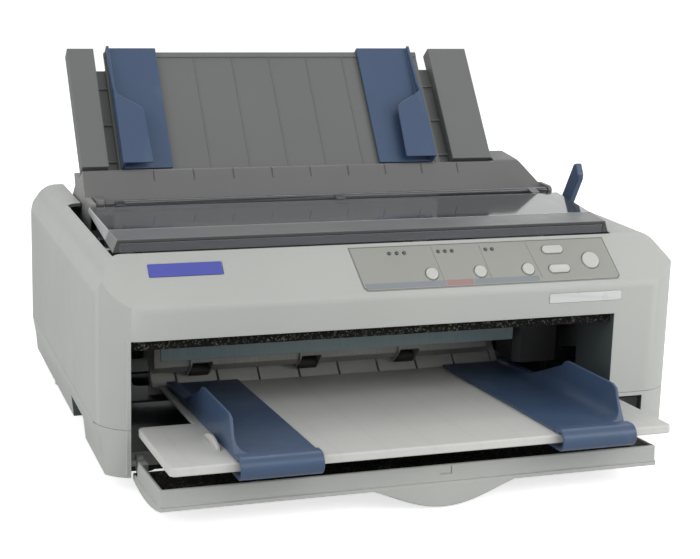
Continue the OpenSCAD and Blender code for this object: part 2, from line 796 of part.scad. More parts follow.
// Side view shared by the two side frames
module frame_outline() {
    difference() {
        polygon([[60, 60], [60, 112], [84, 122], [176, 128], [202, 126], [262, 126], [302, 112],
            [302, 84], [280, 78],
            [222, 72], [216, 24], [112, 24], [104, 48]]);
        translate([196, 52]) circle(12);
        translate([232, 96]) circle(9);
    }
}

module left_frame() {
    color(c_steel) place() difference() {
        union() {
            along_x(left_frame_x, inner_l) frame_outline();
            // Tab under the cheek of the hood
            block([inner_l - eps, 206, 124.4], [hood_l, 258, 126]);
            // Tab under the ribbon cartridge
            block([inner_l - eps, 50, 110.4], [inner_l + 7.4, 80, 112]);
        }
        rod_x(left_frame_x - 1, inner_l + 1, platen_y, platen_z, platen_shaft_r + run_gap);
        rod_x(left_frame_x - 1, inner_l + 1, tractor_centre[0], tractor_centre[1], 3 + run_gap);
    }
}

module right_frame() {
    color(c_steel) place() difference() {
        union() {
            along_x(right_frame_x, right_frame_x + frame_t) frame_outline();
            block([right_frame_x - 7, 50, 110.4], [right_frame_x + eps, 80, 112]);
            // Studs of the idler gears
            rod_x(right_frame_x + frame_t - eps, gear_plate_x, idler_centre[0], idler_centre[1], 3);
            rod_x(right_frame_x + frame_t - eps, gear_plate_x, tractor_idler_centre[0],
                tractor_idler_centre[1], 3);
        }
        rod_x(right_frame_x - 1, right_frame_x + 3, platen_y, platen_z, platen_shaft_r + run_gap);
        rod_x(right_frame_x - 1, right_frame_x + 3, tractor_centre[0], tractor_centre[1], 3 + run_gap);
        rod_x(right_frame_x - 1, right_frame_x + 3, pinion_centre[0], pinion_centre[1], 6);
    }
}

module gear_plate() {
    posts = [[128, 62], [184, 44], [140, 122], [286, 84]];
    color(c_steel) place() difference() {
        union() {
            along_x(gear_plate_x, gear_plate_x + frame_t)
                polygon([[120, 54], [134, 36], [192, 36], [216, 60], [292, 76], [292, 112], [250, 128],
                    [134, 130], [120, 112]]);
            for (p = posts)
                rod_x(right_frame_x + frame_t, gear_plate_x + eps, p[0], p[1], 3.5);
            // Pin of the release lever
            rod_x(gear_plate_x + frame_t - eps, gear_plate_x + 15, lever_axis[0], lever_axis[1], 3);
        }
        rod_x(gear_plate_x - 1, gear_plate_x + 3, platen_y, platen_z, platen_shaft_r + run_gap);
        rod_x(gear_plate_x - 1, gear_plate_x + 3, tractor_centre[0], tractor_centre[1], 3 + run_gap);
    }
}

module cross_beam() {
    color(c_teal) place() difference() {
        union() {
            block([inner_l, 64, beam_z], [right_frame_x, 106, beam_z + 1.6]);
            block([guide_l - 5, 60, beam_z - 10.4], [guide_r + 0.5, 61.6, beam_z + 1.6]);
            block([guide_l - 5, 60, beam_z], [guide_r + 0.5, 65, beam_z + 1.6]);
        }
        translate([pulley_right_x, belt_y, beam_z - 1]) cylinder(h = 4, r = 3.5);
        translate([pulley_left_x, belt_y, beam_z - 1]) cylinder(h = 4, r = 1 + run_gap);
    }
}

// Bracket that holds a pinch roller's spindle
module roller_bracket(x) {
    difference() {
        union() {
            for (side = [-1, 1])
                along_x(x + side * 8 - 0.6, x + side * 8 + 0.6)
                    polygon([[101.6, 66], [104, 66], [104, 53.5], [116, 49], [118, 44], [114, 41.6],
                        [110.6, 44], [101.6, 52]]);
            block([x - 8.6, 101.6, 54], [x + 8.6, 102.8, 66]);
            block([x - 8.6, 101.6, 60], [x + 8.6, 104 + eps, 62]);
        }
        rod_x(x - 10, x + 10, roller_axis[0], roller_axis[1], 1.5 + run_gap);
    }
}

module paper_guide_plate() {
    color(c_steel) place() difference() {
        union() {
            block([guide_l, 104, 51], [guide_r, 105.6, beam_z]);
            along_x(guide_l, guide_r) polygon([[104, 51], [105.6, 51], [110, 46.8], [108.8, 45.8]]);
        }
        for (x = [44.5, 123.7, 197.9])
            rod_y(100, 110, guide_l + x, 62, 2.6);
        rod_y(100, 110, guide_l + 73, 62, 1.5);
        for (x = roller_x)
            block([x - 9, 100, 44], [x + 9, 112, 53]);
    }
    color(c_steel) place() for (x = roller_x) roller_bracket(x);
}

module lower_paper_guide() {
    color(c_pale) place() difference() {
        along_x(guide_l, guide_r + 14)
            polygon([[111, 35.2], [122.4, 45.4], [140, 70], [148, 84], [149.6, 83], [142, 69],
                [124.4, 44], [124.4, 25.6], [122.4, 25.6],
                [122.4, 42.6], [112.4, 33.8]]);
        for (i = [-4 : 5])
            block([path_x + i * rib_pitch + 6.8, 108, 30], [path_x + i * rib_pitch + 8.3, 121, 44.4]);
    }
}

module pinch_rollers() {
    color(c_black) place() for (x = roller_x) {
        rod_x(x - 9.5, x + 9.5, roller_axis[0], roller_axis[1], 1.5);
        rod_x(x - 6.8, x + 6.8, roller_axis[0], roller_axis[1], 4.2);
    }
}

module carriage_shaft() {
    color(c_steel) place() rod_x(inner_l, right_frame_x, guide_y, guide_z, guide_shaft_r);
}

module carriage_motor() {
    color(c_black) place() {
        translate([pulley_right_x, belt_y, beam_z - 30]) {
            linear_extrude(28) intersection() {
                square(38, center = true);
                circle(23.5);
            }
            translate([0, 0, 28]) cylinder(h = 2, r = 10);
        }
        translate([pulley_right_x, belt_y, beam_z - 0.1]) cylinder(h = 12.4, r = 1.5);
    }
}

// Outline of the flat belt loop round the two pulleys, seen from above
module belt_outline(r) {
    translate([pulley_left_x, belt_y]) circle(r);
    translate([pulley_right_x, belt_y]) circle(r);
    translate([pulley_left_x, belt_y - r]) square([pulley_right_x - pulley_left_x, 2 * r]);
}

module drive_belt() {
    color(c_black) place() translate([0, 0, belt_z]) linear_extrude(belt_w) difference() {
        belt_outline(pulley_r + run_gap + 1.1);
        belt_outline(pulley_r + run_gap);
    }
}

// Toothed belt pulley with flanges, turning on an upright axis
module pulley(bore) {
    difference() {
        union() {
            translate([0, 0, belt_z - 1.6]) cylinder(h = 1.2, r = pulley_r + 0.9);
            translate([0, 0, belt_z - 0.4 - eps]) cylinder(h = belt_w + 0.8 + 2 * eps, r = pulley_r);
            translate([0, 0, belt_z + belt_w + 0.4]) cylinder(h = 1.2, r = pulley_r + 0.9);
        }
        for (i = [0 : 17])
            rotate(i * 20) translate([pulley_r, 0, belt_z]) cylinder(h = belt_w, r = 0.45);
        translate([0, 0, belt_z - 2]) cylinder(h = belt_w + 6, r = bore);
    }
}

module motor_pulley() {
    color(c_gear) place() translate([pulley_right_x, belt_y, 0]) pulley(1.5 + run_gap);
}

module tension_pulley() {
    color(c_gear) place() translate([pulley_left_x, belt_y, 0]) {
        pulley(1);
        translate([0, 0, beam_z + 0.2]) cylinder(h = 12, r = 1);
    }
}

module feed_motor() {
    color(c_black) place() {
        rod_x(right_frame_x - 34, right_frame_x - 2, pinion_centre[0], pinion_centre[1], 19);
        rod_x(right_frame_x - 2, right_frame_x, pinion_centre[0], pinion_centre[1], 21);
        rod_x(right_frame_x, gear_plate_x - 6, pinion_centre[0], pinion_centre[1], 2);
    }
}

module ribbon_cartridge() {
    color(c_black) place() {
        // Body across the front of the mechanism
        difference() {
            block([left_frame_x + 7, 44, 112], [right_frame_x - 3, 84, 128]);
            block([left_frame_x + 29, 50, 126], [right_frame_x - 29, 78, 129]);
            translate([ribbon_knob_c[0], ribbon_knob_c[1], 122]) cylinder(h = 8, r = 3 + run_gap);
        }
        // Arms that hold the ribbon at the platen
        for (x = [left_frame_x + 19, right_frame_x - 35])
            along_x(x, x + 14) polygon([[83.8, 112], [83.8, 126], [120, 122], [142, 112], [142, 97],
                [136, 97], [118, 110]]);
        // Ribbon
        block([left_frame_x + 32.8, 140.6, 98], [right_frame_x - 34.8, 141.2, 110]);
    }
}

module ribbon_knob() {
    color(c_black) place() translate([ribbon_knob_c[0], ribbon_knob_c[1], 122.3]) {
        cylinder(h = 6, r = 3);
        translate([0, 0, 6]) difference() {
            cylinder(h = 5, r = 8);
            for (i = [0 : 11])
                rotate(i * 30) translate([8.4, 0, -1]) cylinder(h = 7, r = 1.2);
        }
    }
}

module main_board() {
    corner = [board_l, board_front, board_top];
    cooler_d = body_d - board_front - 42;
    color(c_board) place() {
        block([board_l, board_front, board_z], [board_r, body_d - 4, board_top]);
        // Chips and capacitors
        for (p = [[20, 18], [60, 14], [60, 42], [100, 22]])
            translate(corner + [p[0], p[1], 0]) cube([26, 18, 3]);
        for (x = [14, 26, 38])
            translate([board_l + x, body_d - 40, board_top]) cylinder(h = 14, r = 4.5);
        // Cooling plate with its fins
        translate(corner + [136, 10, 0]) cube([3, cooler_d, 24.4]);
        for (i = [0 : floor((cooler_d - 6) / cooler_pitch) - 1])
            translate(corner + [139 - eps, 14 + i * cooler_pitch, 4.4]) cube([12 + eps, 2, 18]);
        // Wide data socket and small square socket at the back
        difference() {
            block([wide_socket_x - 35, body_d - 20, board_top], [wide_socket_x + 35, body_d, 33.2]);
            block([wide_socket_x - 29, body_d - 8, 22.6], [wide_socket_x + 29, body_d + 1, 30.2]);
        }
        block([wide_socket_x - 25, body_d - 9, 25.2], [wide_socket_x + 25, body_d - 6, 27.6]);
        difference() {
            block([square_socket_x - 6, body_d - 18, board_top], [square_socket_x + 6, body_d, 31]);
            block([square_socket_x - 4.2, body_d - 9, 21.4], [square_socket_x + 4.2, body_d + 1, 29.2]);
        }
    }
}

module power_supply() {
    corner = [supply_l, board_front, board_top];
    color(c_board) place() {
        block([supply_l, board_front, board_z], [supply_r, body_d - 8, board_top]);
        // Transformer, capacitors and a cooling plate
        translate(corner + [60, 14, 0]) cube([48, 44, 36.4]);
        translate(corner + [56, 22, 4.4]) cube([56, 28, 28]);
        for (x = [20, 42])
            translate(corner + [x, 22, 0]) cylinder(h = 30, r = 9);
        translate([supply_l + 4, body_d - 62, board_top]) cube([3, 38, 26.4]);
        // Mains inlet at the back
        difference() {
            block([inlet_x - 14, body_d - 24, board_top], [inlet_x + 14, body_d, 40]);
            block([inlet_x - 11, body_d - 12, 22.6], [inlet_x + 11, body_d + 1, 37]);
        }
        for (p = [[-6, 28], [0, 32.6], [6, 28]])
            translate([inlet_x + p[0] - 1, body_d - 13, p[1] - 2.4]) cube([2, 7, 4.8]);
    }
}

module tractor_shaft() {
    color(c_steel) place() rod_x(inner_l, right_frame_x, tractor_pair[0], tractor_pair[1], 3);
}

// Outline of the front cover seen from its side: distance from the hinge, height off the hinge
module cover_skin() {
    intersection() {
        translate([2, -16]) square([cover_len - 2, 9.7]);
        translate([38, 186]) circle(r = 200, $fn = 360);
    }
}

// Outline of the finger grip seen from the front
function grip_drop(t) = grip_h * pow(sin(180 * t), 1.1);

module front_cover() {
    grip_l = -48;
    grip_w = 95;
    steps = 24;
    skin_z = -6.3;
    rim_top = skin_z - 3 + cover_rim;
    color(c_case) place() on_cover() {
        difference() {
            union() {
                along_x(cover_l, cover_r) mirror([1, 0]) cover_skin();
                // Rim on three sides
                block([cover_l + 0.5, -cover_len + 0.5, skin_z - 0.1],
                    [cover_r - 0.5, -cover_len + 2.7, rim_top]);
                for (x = [cover_l + 0.5, cover_r - 2.7])
                    along_x(x, x + 2.2)
                        polygon([[-cover_len + 0.5, skin_z - 0.1], [-cover_len + 0.5, rim_top],
                            [-19, rim_top], [-15, rim_top - 3], [-13, skin_z - 0.1]]);
                // Arms round the hinge pins
                for (x = [cover_l + 2.6, cover_r - 7.6])
                    along_x(x, x + 5) {
                        circle(5.5);
                        translate([-16, -6.4]) square([16, 9]);
                    }
                // Hinge pins
                rod_x(mouth_l - wall, cover_l + 7, 0, 0, cover_pin_r - run_gap);
                rod_x(cover_r - 7, mouth_r + wall, 0, 0, cover_pin_r - run_gap);
                // Finger grip along the free edge
                intersection() {
                    along_y(-cover_len, -40)
                        polygon(concat([[grip_l, -8.5]],
                            [for (i = [0 : steps]) [grip_l + grip_w * i / steps, -9.4 - grip_drop(i / steps)]],
                            [[grip_l + grip_w, -8.5]]));
                    along_x(grip_l, grip_l + grip_w)
                        polygon([[-cover_len, -7], [-cover_len, -9.4 - grip_h],
                            [-cover_len + 8, -9.4 - grip_h], [-46, -12], [-46, -7]]);
                }
            }
            // Latch slit in the free edge
            block([-4.5, -cover_len - 1, -2], [4, -cover_len + 1.4, -1.2]);
            block([3.2, -cover_len - 1, -2], [4, -cover_len + 1.4, 3]);
        }
    }
}

module front_cover_foam() {
    color(c_black) place() on_cover() block([cover_l + 2.8, -cover_len + 2.8, -6.3],
        [cover_r - 2.8, -18, -3.3]);
}

// Solid body of the printer cover, drawn smaller by t and then open at the rear
module lid_block(t) {
    rear = lid_rear_y + (t > 0 ? 1 : 0);
    intersection() {
        along_x(-half_w, half_w)
            polygon([[lid_front_y + t, lid_bottom - t], [lid_front_y + t, top_z + lid_rise - t],
                [rear, top_z + 3.6 - t], [rear, lid_bottom - t]]);
        // Left side, drawn in towards the rear
        translate([open_l + 3.1 + t, lid_front_y, top_z + lid_rise]) rotate([0, 0, -3.3])
            rotate([0, 20, 0]) translate([0, -60, -300]) cube([600, 300, 600]);
        // Right side, running out towards the rear
        translate([open_r - 3.9 - t, lid_front_y, top_z + lid_rise]) rotate([0, 0, -12.2])
            rotate([0, -17, 0]) translate([-600, -100, -300]) cube([600, 400, 600]);
    }
}

module lid_shell() {
    difference() {
        lid_block(0);
        lid_block(lid_t);
    }
}

module lid_bar_room() {
    bar_y = lid_front_y + lid_bar_d;
    difference() {
        block([-half_w, 0, top_z - 5], [half_w, bar_y, top_z + 20]);
        block([open_l + 4.8, 0, top_z - 6],
            [open_r - 6.2, lid_front_y + lid_t + 0.01, top_z + lid_rise - 2.2]);
    }
}

module cover_window() {
    color(c_smoke) place() {
        difference() {
            lid_shell();
            lid_bar_room();
        }
        // Arms to the rod at the rear edge
        for (x = lid_arms)
            along_x(x, x + 7) polygon([[162, lid_bottom + 0.2], [162, top_z + 2.6],
                [177, lid_axis[1] + 2.3], [179, lid_axis[1] - 2], [166, lid_bottom + 0.2]]);
        rod_x(lid_rod_l, lid_rod_end, lid_axis[0], lid_axis[1], lid_rod_r);
        rod_x(hood_l + 1.6, lid_rod_l + 0.6, lid_axis[0], lid_axis[1], 1.8);
        rod_x(lid_rod_end - 0.6, lid_rod_end + 3.8, lid_axis[0], lid_axis[1], 1.8);
    }
}

module cover_bar() {
    color(c_grey) place() intersection() {
        lid_shell();
        lid_bar_room();
    }
}

// Hollow rail of the rear sheet guide
module rail(x, w) {
    translate([x, 0, 0]) rotate([90, 0, 0]) linear_extrude(rail_len) difference() {
        translate([0, -rail_d]) square([w, rail_d]);
        translate([2, -rail_d - 1]) square([w - 4, rail_d - 1.2]);
    }
    block([x, -2.4, -rail_d], [x + w, 0, 0]);
    block([x, -rail_len, -rail_d], [x + w, -rail_len + 2.4, 0]);
}

module rear_sheet_guide() {
    reach = rear_pivot - rear_top;
    pivot_s = reach * [cos(rear_slope), sin(rear_slope)];
    pivot_n = reach * [-sin(rear_slope), cos(rear_slope)];
    panel_bottom = -rail_len - 8.5;
    color(c_grey) place() on_rear_guide() difference() {
        union() {
            rail(rail_l, rail_lw);
            rail(rail_r, rail_rw);
            // Panel with a raised top border and ribs
            block([panel_l, panel_bottom, -panel_sink - 2.5], [panel_r, 0, -panel_sink]);
            block([panel_l, -4.6, -panel_sink - 2.5], [panel_r, 0, -panel_sink + 0.8]);
            // Deeper strips between the panel and the rails
            for (x = [[rail_l + rail_lw - 1, panel_l + 1.6], [panel_r - 1.6, rail_r + 1]])
                block([x[0], -rail_len, -rail_d], [x[1], -hook_len - 2, -rail_d + 2]);
            for (x = [panel_l, panel_r - 1.6])
                block([x, -rail_len, -rail_d], [x + 1.6, -hook_len - 2, -panel_sink - 2]);
            for (i = [0 : floor((panel_r - panel_l - 12) / rib_pitch)])
                block([panel_l + 9.4 + i * rib_pitch - 0.4, panel_bottom + 2, -panel_sink - 0.5],
                    [panel_l + 9.4 + i * rib_pitch + 0.4, -4, -panel_sink + 0.5]);
            // Stiffeners on the back of the panel
            for (s = [-96, -64, -32])
                block([rail_l + rail_lw - 1, s, -rail_d + 1], [rail_r + 1, s + 1.8, -panel_sink - 2]);
            // Lugs on the pivot pins
            for (x = [hood_l + 0.5, hood_block_x - 5.4])
                translate([x, 0, 0]) rotate([90, 0, 90]) linear_extrude(4.6) {
                    translate([pivot_s, pivot_n]) circle(6.5);
                    polygon([[pivot_s - 6.5, pivot_n], [pivot_s + 6.5, pivot_n],
                        [15.5 - rail_len, -rail_d + 1], [-rail_len + 0.5, -rail_d + 1]]);
                }
        }
        translate([hood_l - 1.4, pivot_s, pivot_n])
            rotate([0, 90, 0]) cylinder(h = hood_block_x - hood_l + 13.4, r = 3 + run_gap);
    }
}

// Rear edge guide with its wall on the left
module rear_blue(w, lip) {
    base_n = -panel_sink + 0.8 + slide_gap;
    wall_top = 6.5;
    foot = -rail_len - 0.5;
    // Plate in front of the panel
    block([0, foot, base_n], [w, 2.2, base_n + 2.2]);
    // Hook over the top edge and the back of the panel
    block([0, slide_gap, -panel_sink - 5.2], [w, 2.2, base_n + 1]);
    block([0, -hook_len, -panel_sink - 5.2], [w, 2.2, -panel_sink - 2.5 - slide_gap]);
    // Side wall, low at the top and full height below
    along_x(0, fin_t)
        polygon([[2.2, base_n], [2.2, 0.5], [-34, 3], [-42, wall_top], [foot, wall_top], [foot, base_n]]);
    // Lip folded over the edge of the sheet
    translate([0, 0, wall_top - 1.8]) linear_extrude(1.8)
        polygon(concat([[0, foot], [lip + 1.5, foot]],
            [for (i = [0 : 8]) [lip * lip_curve(i / 8), -60 + 20 * i / 8]], [[0, -40]]));
}

// Share of the lip's width along its curved upper end
function lip_curve(t) = 0.5 + 0.5 * cos(180 * t);

module rear_edge_guide_left() {
    color(c_blue) place() on_rear_guide() translate([panel_l + 1.4, 0, 0]) rear_blue(rear_blue_w, 21);
}

module rear_edge_guide_right() {
    color(c_blue) place() on_rear_guide()
        translate([panel_r - 7, 0, 0]) mirror([1, 0, 0]) rear_blue(rear_blue_w + 6, 24);
}

// Cross-section of the wall of a front edge guide, with its hollow foot
module fin_section(low) {
    foot_r = 9;
    polygon(concat([[0, low], [0.4, 40], [fin_t, 40]],
        [for (a = [0 : 15 : 90]) [fin_t + foot_r * (1 - cos(a)), low + 2 + foot_r * (1 - sin(a))]],
        [[fin_t + foot_r, low]]));
}

// Front edge guide with its wall on the left
module front_blue(w) {
    low = slide_gap;
    plate_t = 2;
    // Plate on the sheet guide
    block([0, curl_centre_s, low], [w, 194, low + plate_t]);
    // Roll round the front edge
    difference() {
        rod_x(0, w, curl_centre_s, curl_centre_n, front_curl_r);
        rod_x(-1, w + 1, curl_centre_s, curl_centre_n, front_curl_r - 2.2);
        block([-1, curl_centre_s, curl_centre_n - 20], [w + 1, 40, curl_centre_n + 20]);
    }
    block([0, curl_centre_s - 0.1, curl_centre_n + front_curl_r - 2.2], [w, 5, curl_centre_n + front_curl_r]);
    block([0, curl_centre_s - 0.1, curl_centre_n - front_curl_r],
        [w, 14, curl_centre_n - front_curl_r + 2.2]);
    // Wall along the edge of the sheet, flaring into the plate
    intersection() {
        along_x(-1, w)
            polygon([[8, 0], [8, low], [16, 14], [19, front_fin_h - 2], [24, front_fin_h],
                [88, front_fin_h + 0.8],
                [93, front_fin_h - 0.6], [97, front_fin_h - 4], [132, 8], [142, 4.6], [194, 4], [194, 0]]);
        along_y(0, 196) fin_section(low);
    }
}

module front_edge_guide_left() {
    color(c_blue) place() on_tray() translate([tray_l + 40.8, 0, 0]) front_blue(front_blue_w);
}

module front_edge_guide_right() {
    color(c_blue) place() on_tray()
        translate([tray_r - 30.2, 0, 0]) mirror([1, 0, 0]) front_blue(front_blue_w);
}

module release_lever() {
    reach = 98;
    color(c_blue) place() difference() {
        along_x(lever_x, lever_x + lever_t) {
            translate(lever_axis) circle(8);
            translate(lever_axis) rotate(lever_lean)
                polygon([[-6, 0], [6, 0], [6.4, 50], [6.4, reach - 3], [3.6, reach], [-4.4, reach - 4],
                    [-6.4, reach - 8], [-6.4, 50]]);
        }
        rod_x(lever_x - 1, lever_x + lever_t + 1, lever_axis[0], lever_axis[1], 3 + run_gap);
    }
}

module thickness_lever() {
    color(c_blue) place() difference() {
        along_x(inner_l + 0.2, inner_l + 3.2) {
            translate([guide_y, guide_z]) circle(9);
            translate([guide_y, guide_z]) polygon([[-4, 0], [4, 0], [3, 40], [7, 44], [7, 52], [-3, 52],
                [-4, 44]]);
        }
        rod_x(left_frame_x, inner_l + 4, guide_y, guide_z, guide_shaft_r + run_gap);
    }
}

module platen_roller() {
    color(c_black) place() difference() {
        rod_x(left_frame_x + 17, right_frame_x - 19, platen_y, platen_z, platen_r);
        rod_x(left_frame_x + 16, right_frame_x - 18, platen_y, platen_z, platen_shaft_r);
    }
}

module platen_shaft() {
    color(c_steel) place() rod_x(left_frame_x - 0.6, half_w + 3, platen_y, platen_z, platen_shaft_r);
}

module platen_knob() {
    color(c_grey) place() difference() {
        union() {
            rod_x(half_w - 6.4, half_w + 1.2, platen_y, platen_z, 7.6);
            rod_x(half_w + 0.8, half_w + knob_out, platen_y, platen_z, 14);
        }
        for (i = [0 : 17])
            translate([0, platen_y, platen_z]) rotate([i * 20, 0, 0])
                rod_x(half_w + 0.6, half_w + 8, 14.6, 0, 1.3);
        rod_x(half_w - 8, half_w + 3, platen_y, platen_z, platen_shaft_r);
    }
}

// Involute of a circle, angle in degrees
function involute(a) = tan(a) * 180 / PI - a;

// Half angle of a tooth at radius r
function tooth_half(r, z, base) = 90 / z - 2.2 / z + involute(20) - involute(acos(min(1, base / r)));

// Points of one tooth from root to tip and back
function tooth_points(z, m, turn) =
    let (pitch = z * m / 2, base = pitch * cos(20),
        tip = pitch + 0.9 * m, root = pitch - 1.25 * m, low = max(base, root) + 0.02,
        radii = [low, (low + pitch) / 2, pitch, (pitch + tip) / 2, tip])
    concat([root * [cos(turn - tooth_half(low, z, base)), sin(turn - tooth_half(low, z, base))]],
        [for (r = radii) r * [cos(turn - tooth_half(r, z, base)), sin(turn - tooth_half(r, z, base))]],
        [for (i = [len(radii) - 1 : -1 : 0]) radii[i] * [cos(turn + tooth_half(radii[i], z, base)),
        sin(turn + tooth_half(radii[i], z, base))]],
        [root * [cos(turn + tooth_half(low, z, base)), sin(turn + tooth_half(low, z, base))]]);

// Turn of gear b that meshes with gear a, whose teeth start at turn_a, along the line at angle line
function mesh_turn(turn_a, za, zb, line) = line + 180 + 180 / zb + (line - turn_a) * za / zb;

// Spur gear in the gear plane, with a bore and a hub towards the right
module gear(centre, z, turn, bore, hub) {
    web = z * gear_module / 2;
    difference() {
        union() {
            along_x(gear_x, gear_x + gear_w) translate(centre)
                polygon([for (i = [0 : z - 1]) each tooth_points(z, gear_module, turn + i * 360 / z)]);
            rod_x(gear_x + gear_w - eps, gear_x + gear_w + 3, centre[0], centre[1], hub);
        }
        if (web > 18) {
            rod_x(gear_x - 1, gear_x + 1.6, centre[0], centre[1], web - 4);
            for (i = [0 : 4])
                translate([0, centre[0], centre[1]]) rotate([i * 72, 0, 0])
                    rod_x(gear_x - 1, gear_x + gear_w + 1, (web - 4 + hub) / 2, 0, (web - 4 - hub) / 2 - 1.5);
        }
        rod_x(gear_x - 1, gear_x + gear_w + 5, centre[0], centre[1], bore);
    }
}

module platen_gear() {
    color(c_gear) place() gear([platen_y, platen_z], platen_teeth, platen_turn, platen_shaft_r, 9);
}

module feed_idler() {
    color(c_gear) place() gear(idler_centre, idler_teeth, idler_turn, 3 + run_gap, 5.5);
}

module feed_pinion() {
    color(c_gear) place() gear(pinion_centre, pinion_teeth, pinion_turn, 2 + run_gap, 5);
}

module tractor_idler() {
    color(c_gear) place() gear(tractor_idler_centre, tractor_idler_teeth, tractor_idler_turn, 3 + run_gap, 8);
}

module tractor_drive_shaft() {
    color(c_steel) place() {
        gear(tractor_centre, tractor_teeth, tractor_turn, 2.9, 6);
        rod_x(left_frame_x - 0.4, left_frame_x + 11, tractor_centre[0], tractor_centre[1], 3);
        rod_x(right_frame_x - 9, gear_plate_x + 2.2, tractor_centre[0], tractor_centre[1], 3);
        translate([left_frame_x + 9, tractor_centre[0], tractor_centre[1]]) rotate([platen_turn, 0, 0])
            translate([0, -square_shaft / 2, -square_shaft / 2])
                cube([right_frame_x - left_frame_x - 16, square_shaft, square_shaft]);
    }
}

// Tractor frame: two cheeks joined round the plain shaft
module tractor(x) {
    c = tractor_centre;
    p = tractor_pair;
    color(c_grey) place() difference() {
        union() {
            for (side = [0, tractor_w - 3])
                along_x(x - tractor_w / 2 + side, x - tractor_w / 2 + side + 3) {
                    translate(c) circle(13);
                    translate(p) circle(9);
                    polygon([[c[0], c[1] - 13], [p[0], p[1] - 9], [p[0], p[1] + 9], [c[0], c[1] + 13]]);
                }
            rod_x(x - tractor_w / 2 + 1, x + tractor_w / 2 - 1, p[0], p[1], 7);
            block([x - tractor_w / 2 + 1, p[0] - 6, p[1] + 3], [x + tractor_w / 2 - 1, p[0] + 3, p[1] + 8.6]);
        }
        rod_x(x - tractor_w, x + tractor_w, p[0], p[1], 3 + run_gap);
        rod_x(x - tractor_w, x + tractor_w, c[0], c[1], 7);
    }
}

module tractor_left() {
    tractor(tractor_left_x);
}

module tractor_right() {
    tractor(tractor_right_x);
}

// Pin wheel on the square shaft
module sprocket(x) {
    pins = 8;
    color(c_gear) place() difference() {
        union() {
            rod_x(x - tractor_w / 2, x + tractor_w / 2, tractor_centre[0], tractor_centre[1], 7 - run_gap);
            rod_x(x - 6, x + 6, tractor_centre[0], tractor_centre[1], 11.5);
            for (i = [0 : pins - 1])
                translate([x, tractor_centre[0], tractor_centre[1]]) rotate([i * 360 / pins, 0, 0]) {
                    translate([0, 0, 11]) cylinder(h = 2, r = 1.9);
                    translate([0, 0, 13]) cylinder(h = 1.6, r1 = 1.9, r2 = 1);
                }
        }
        translate([x - tractor_w, tractor_centre[0], tractor_centre[1]]) rotate([platen_turn, 0, 0])
            translate([0, -square_shaft / 2 - 0.12, -square_shaft / 2 - 0.12])
                cube([2 * tractor_w, square_shaft + 0.24, square_shaft + 0.24]);
    }
}

module sprocket_left() {
    sprocket(tractor_left_x);
}

module sprocket_right() {
    sprocket(tractor_right_x);
}

module carriage() {
    x0 = carriage_x - carriage_w / 2;
    color(c_black) place() difference() {
        along_x(x0, x0 + carriage_w) {
            translate([guide_y, guide_z]) circle(9);
            polygon([[86, beam_z + 1.8], [104, beam_z + 1.8], [104, 84], [116, 84], [124, 94],
                [126, head_z], [98, head_z], [98, 94], [86, 94]]);
        }
        rod_x(x0 - 1, x0 + carriage_w + 1, guide_y, guide_z, guide_shaft_r + run_gap);
        // Slot for the belt
        block([x0 - 1, belt_y + pulley_r - 0.3, belt_z - 0.4],
            [x0 + carriage_w + 1, belt_y + pulley_r + 1.6, 95]);
        // Waisted middle
        block([x0 + 12, 84, 87], [x0 + carriage_w - 12, 95, 96]);
    }
}

module print_head() {
    color(c_steel) place() {
        // Nose in front of the platen
        block([carriage_x - 6, 128, head_z], [carriage_x + 6, 139.6, 108]);
        // Body and cooling fins
        block([carriage_x - 15, 100, head_z], [carriage_x + 15, 130, 112]);
        for (i = [0 : 5])
            block([carriage_x - 15, 100.6 + i * 5, 112 - eps], [carriage_x + 15, 102.6 + i * 5, 122]);
    }
}

lower_case();
upper_case();
rubber_feet();
screws();
control_panel();
panel_board();
front_sheet_guide();
mouth_foam();
separator_hood();
base_frame();
left_frame();
right_frame();
gear_plate();
cross_beam();
paper_guide_plate();
lower_paper_guide();
pinch_rollers();
carriage_shaft();
carriage_motor();
drive_belt();
feed_motor();
ribbon_cartridge();
ribbon_knob();
main_board();
power_supply();
tractor_shaft();
front_cover();
front_cover_foam();
cover_window();
cover_bar();
rear_sheet_guide();
rear_edge_guide_left();
rear_edge_guide_right();
front_edge_guide_left();
front_edge_guide_right();
release_lever();
thickness_lever();
platen_roller();
platen_shaft();
platen_gear();
platen_knob();
feed_pinion();
feed_idler();
tractor_idler();
tractor_drive_shaft();
tractor_left();
tractor_right();
sprocket_left();
sprocket_right();
carriage();
print_head();
motor_pulley();
tension_pulley();
button(small_buttons[0], small_button_r);  // select_button_1
button(small_buttons[1], small_button_r);  // select_button_2
button(small_buttons[2], small_button_r);  // select_button_3
long_button(long_buttons[0]);  // feed_button
long_button(long_buttons[1]);  // load_button
button(round_button, round_button_r);  // pause_button
power_switch();
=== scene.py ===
import json
import math

import bmesh
import bpy
from mathutils import Matrix, Vector, noise

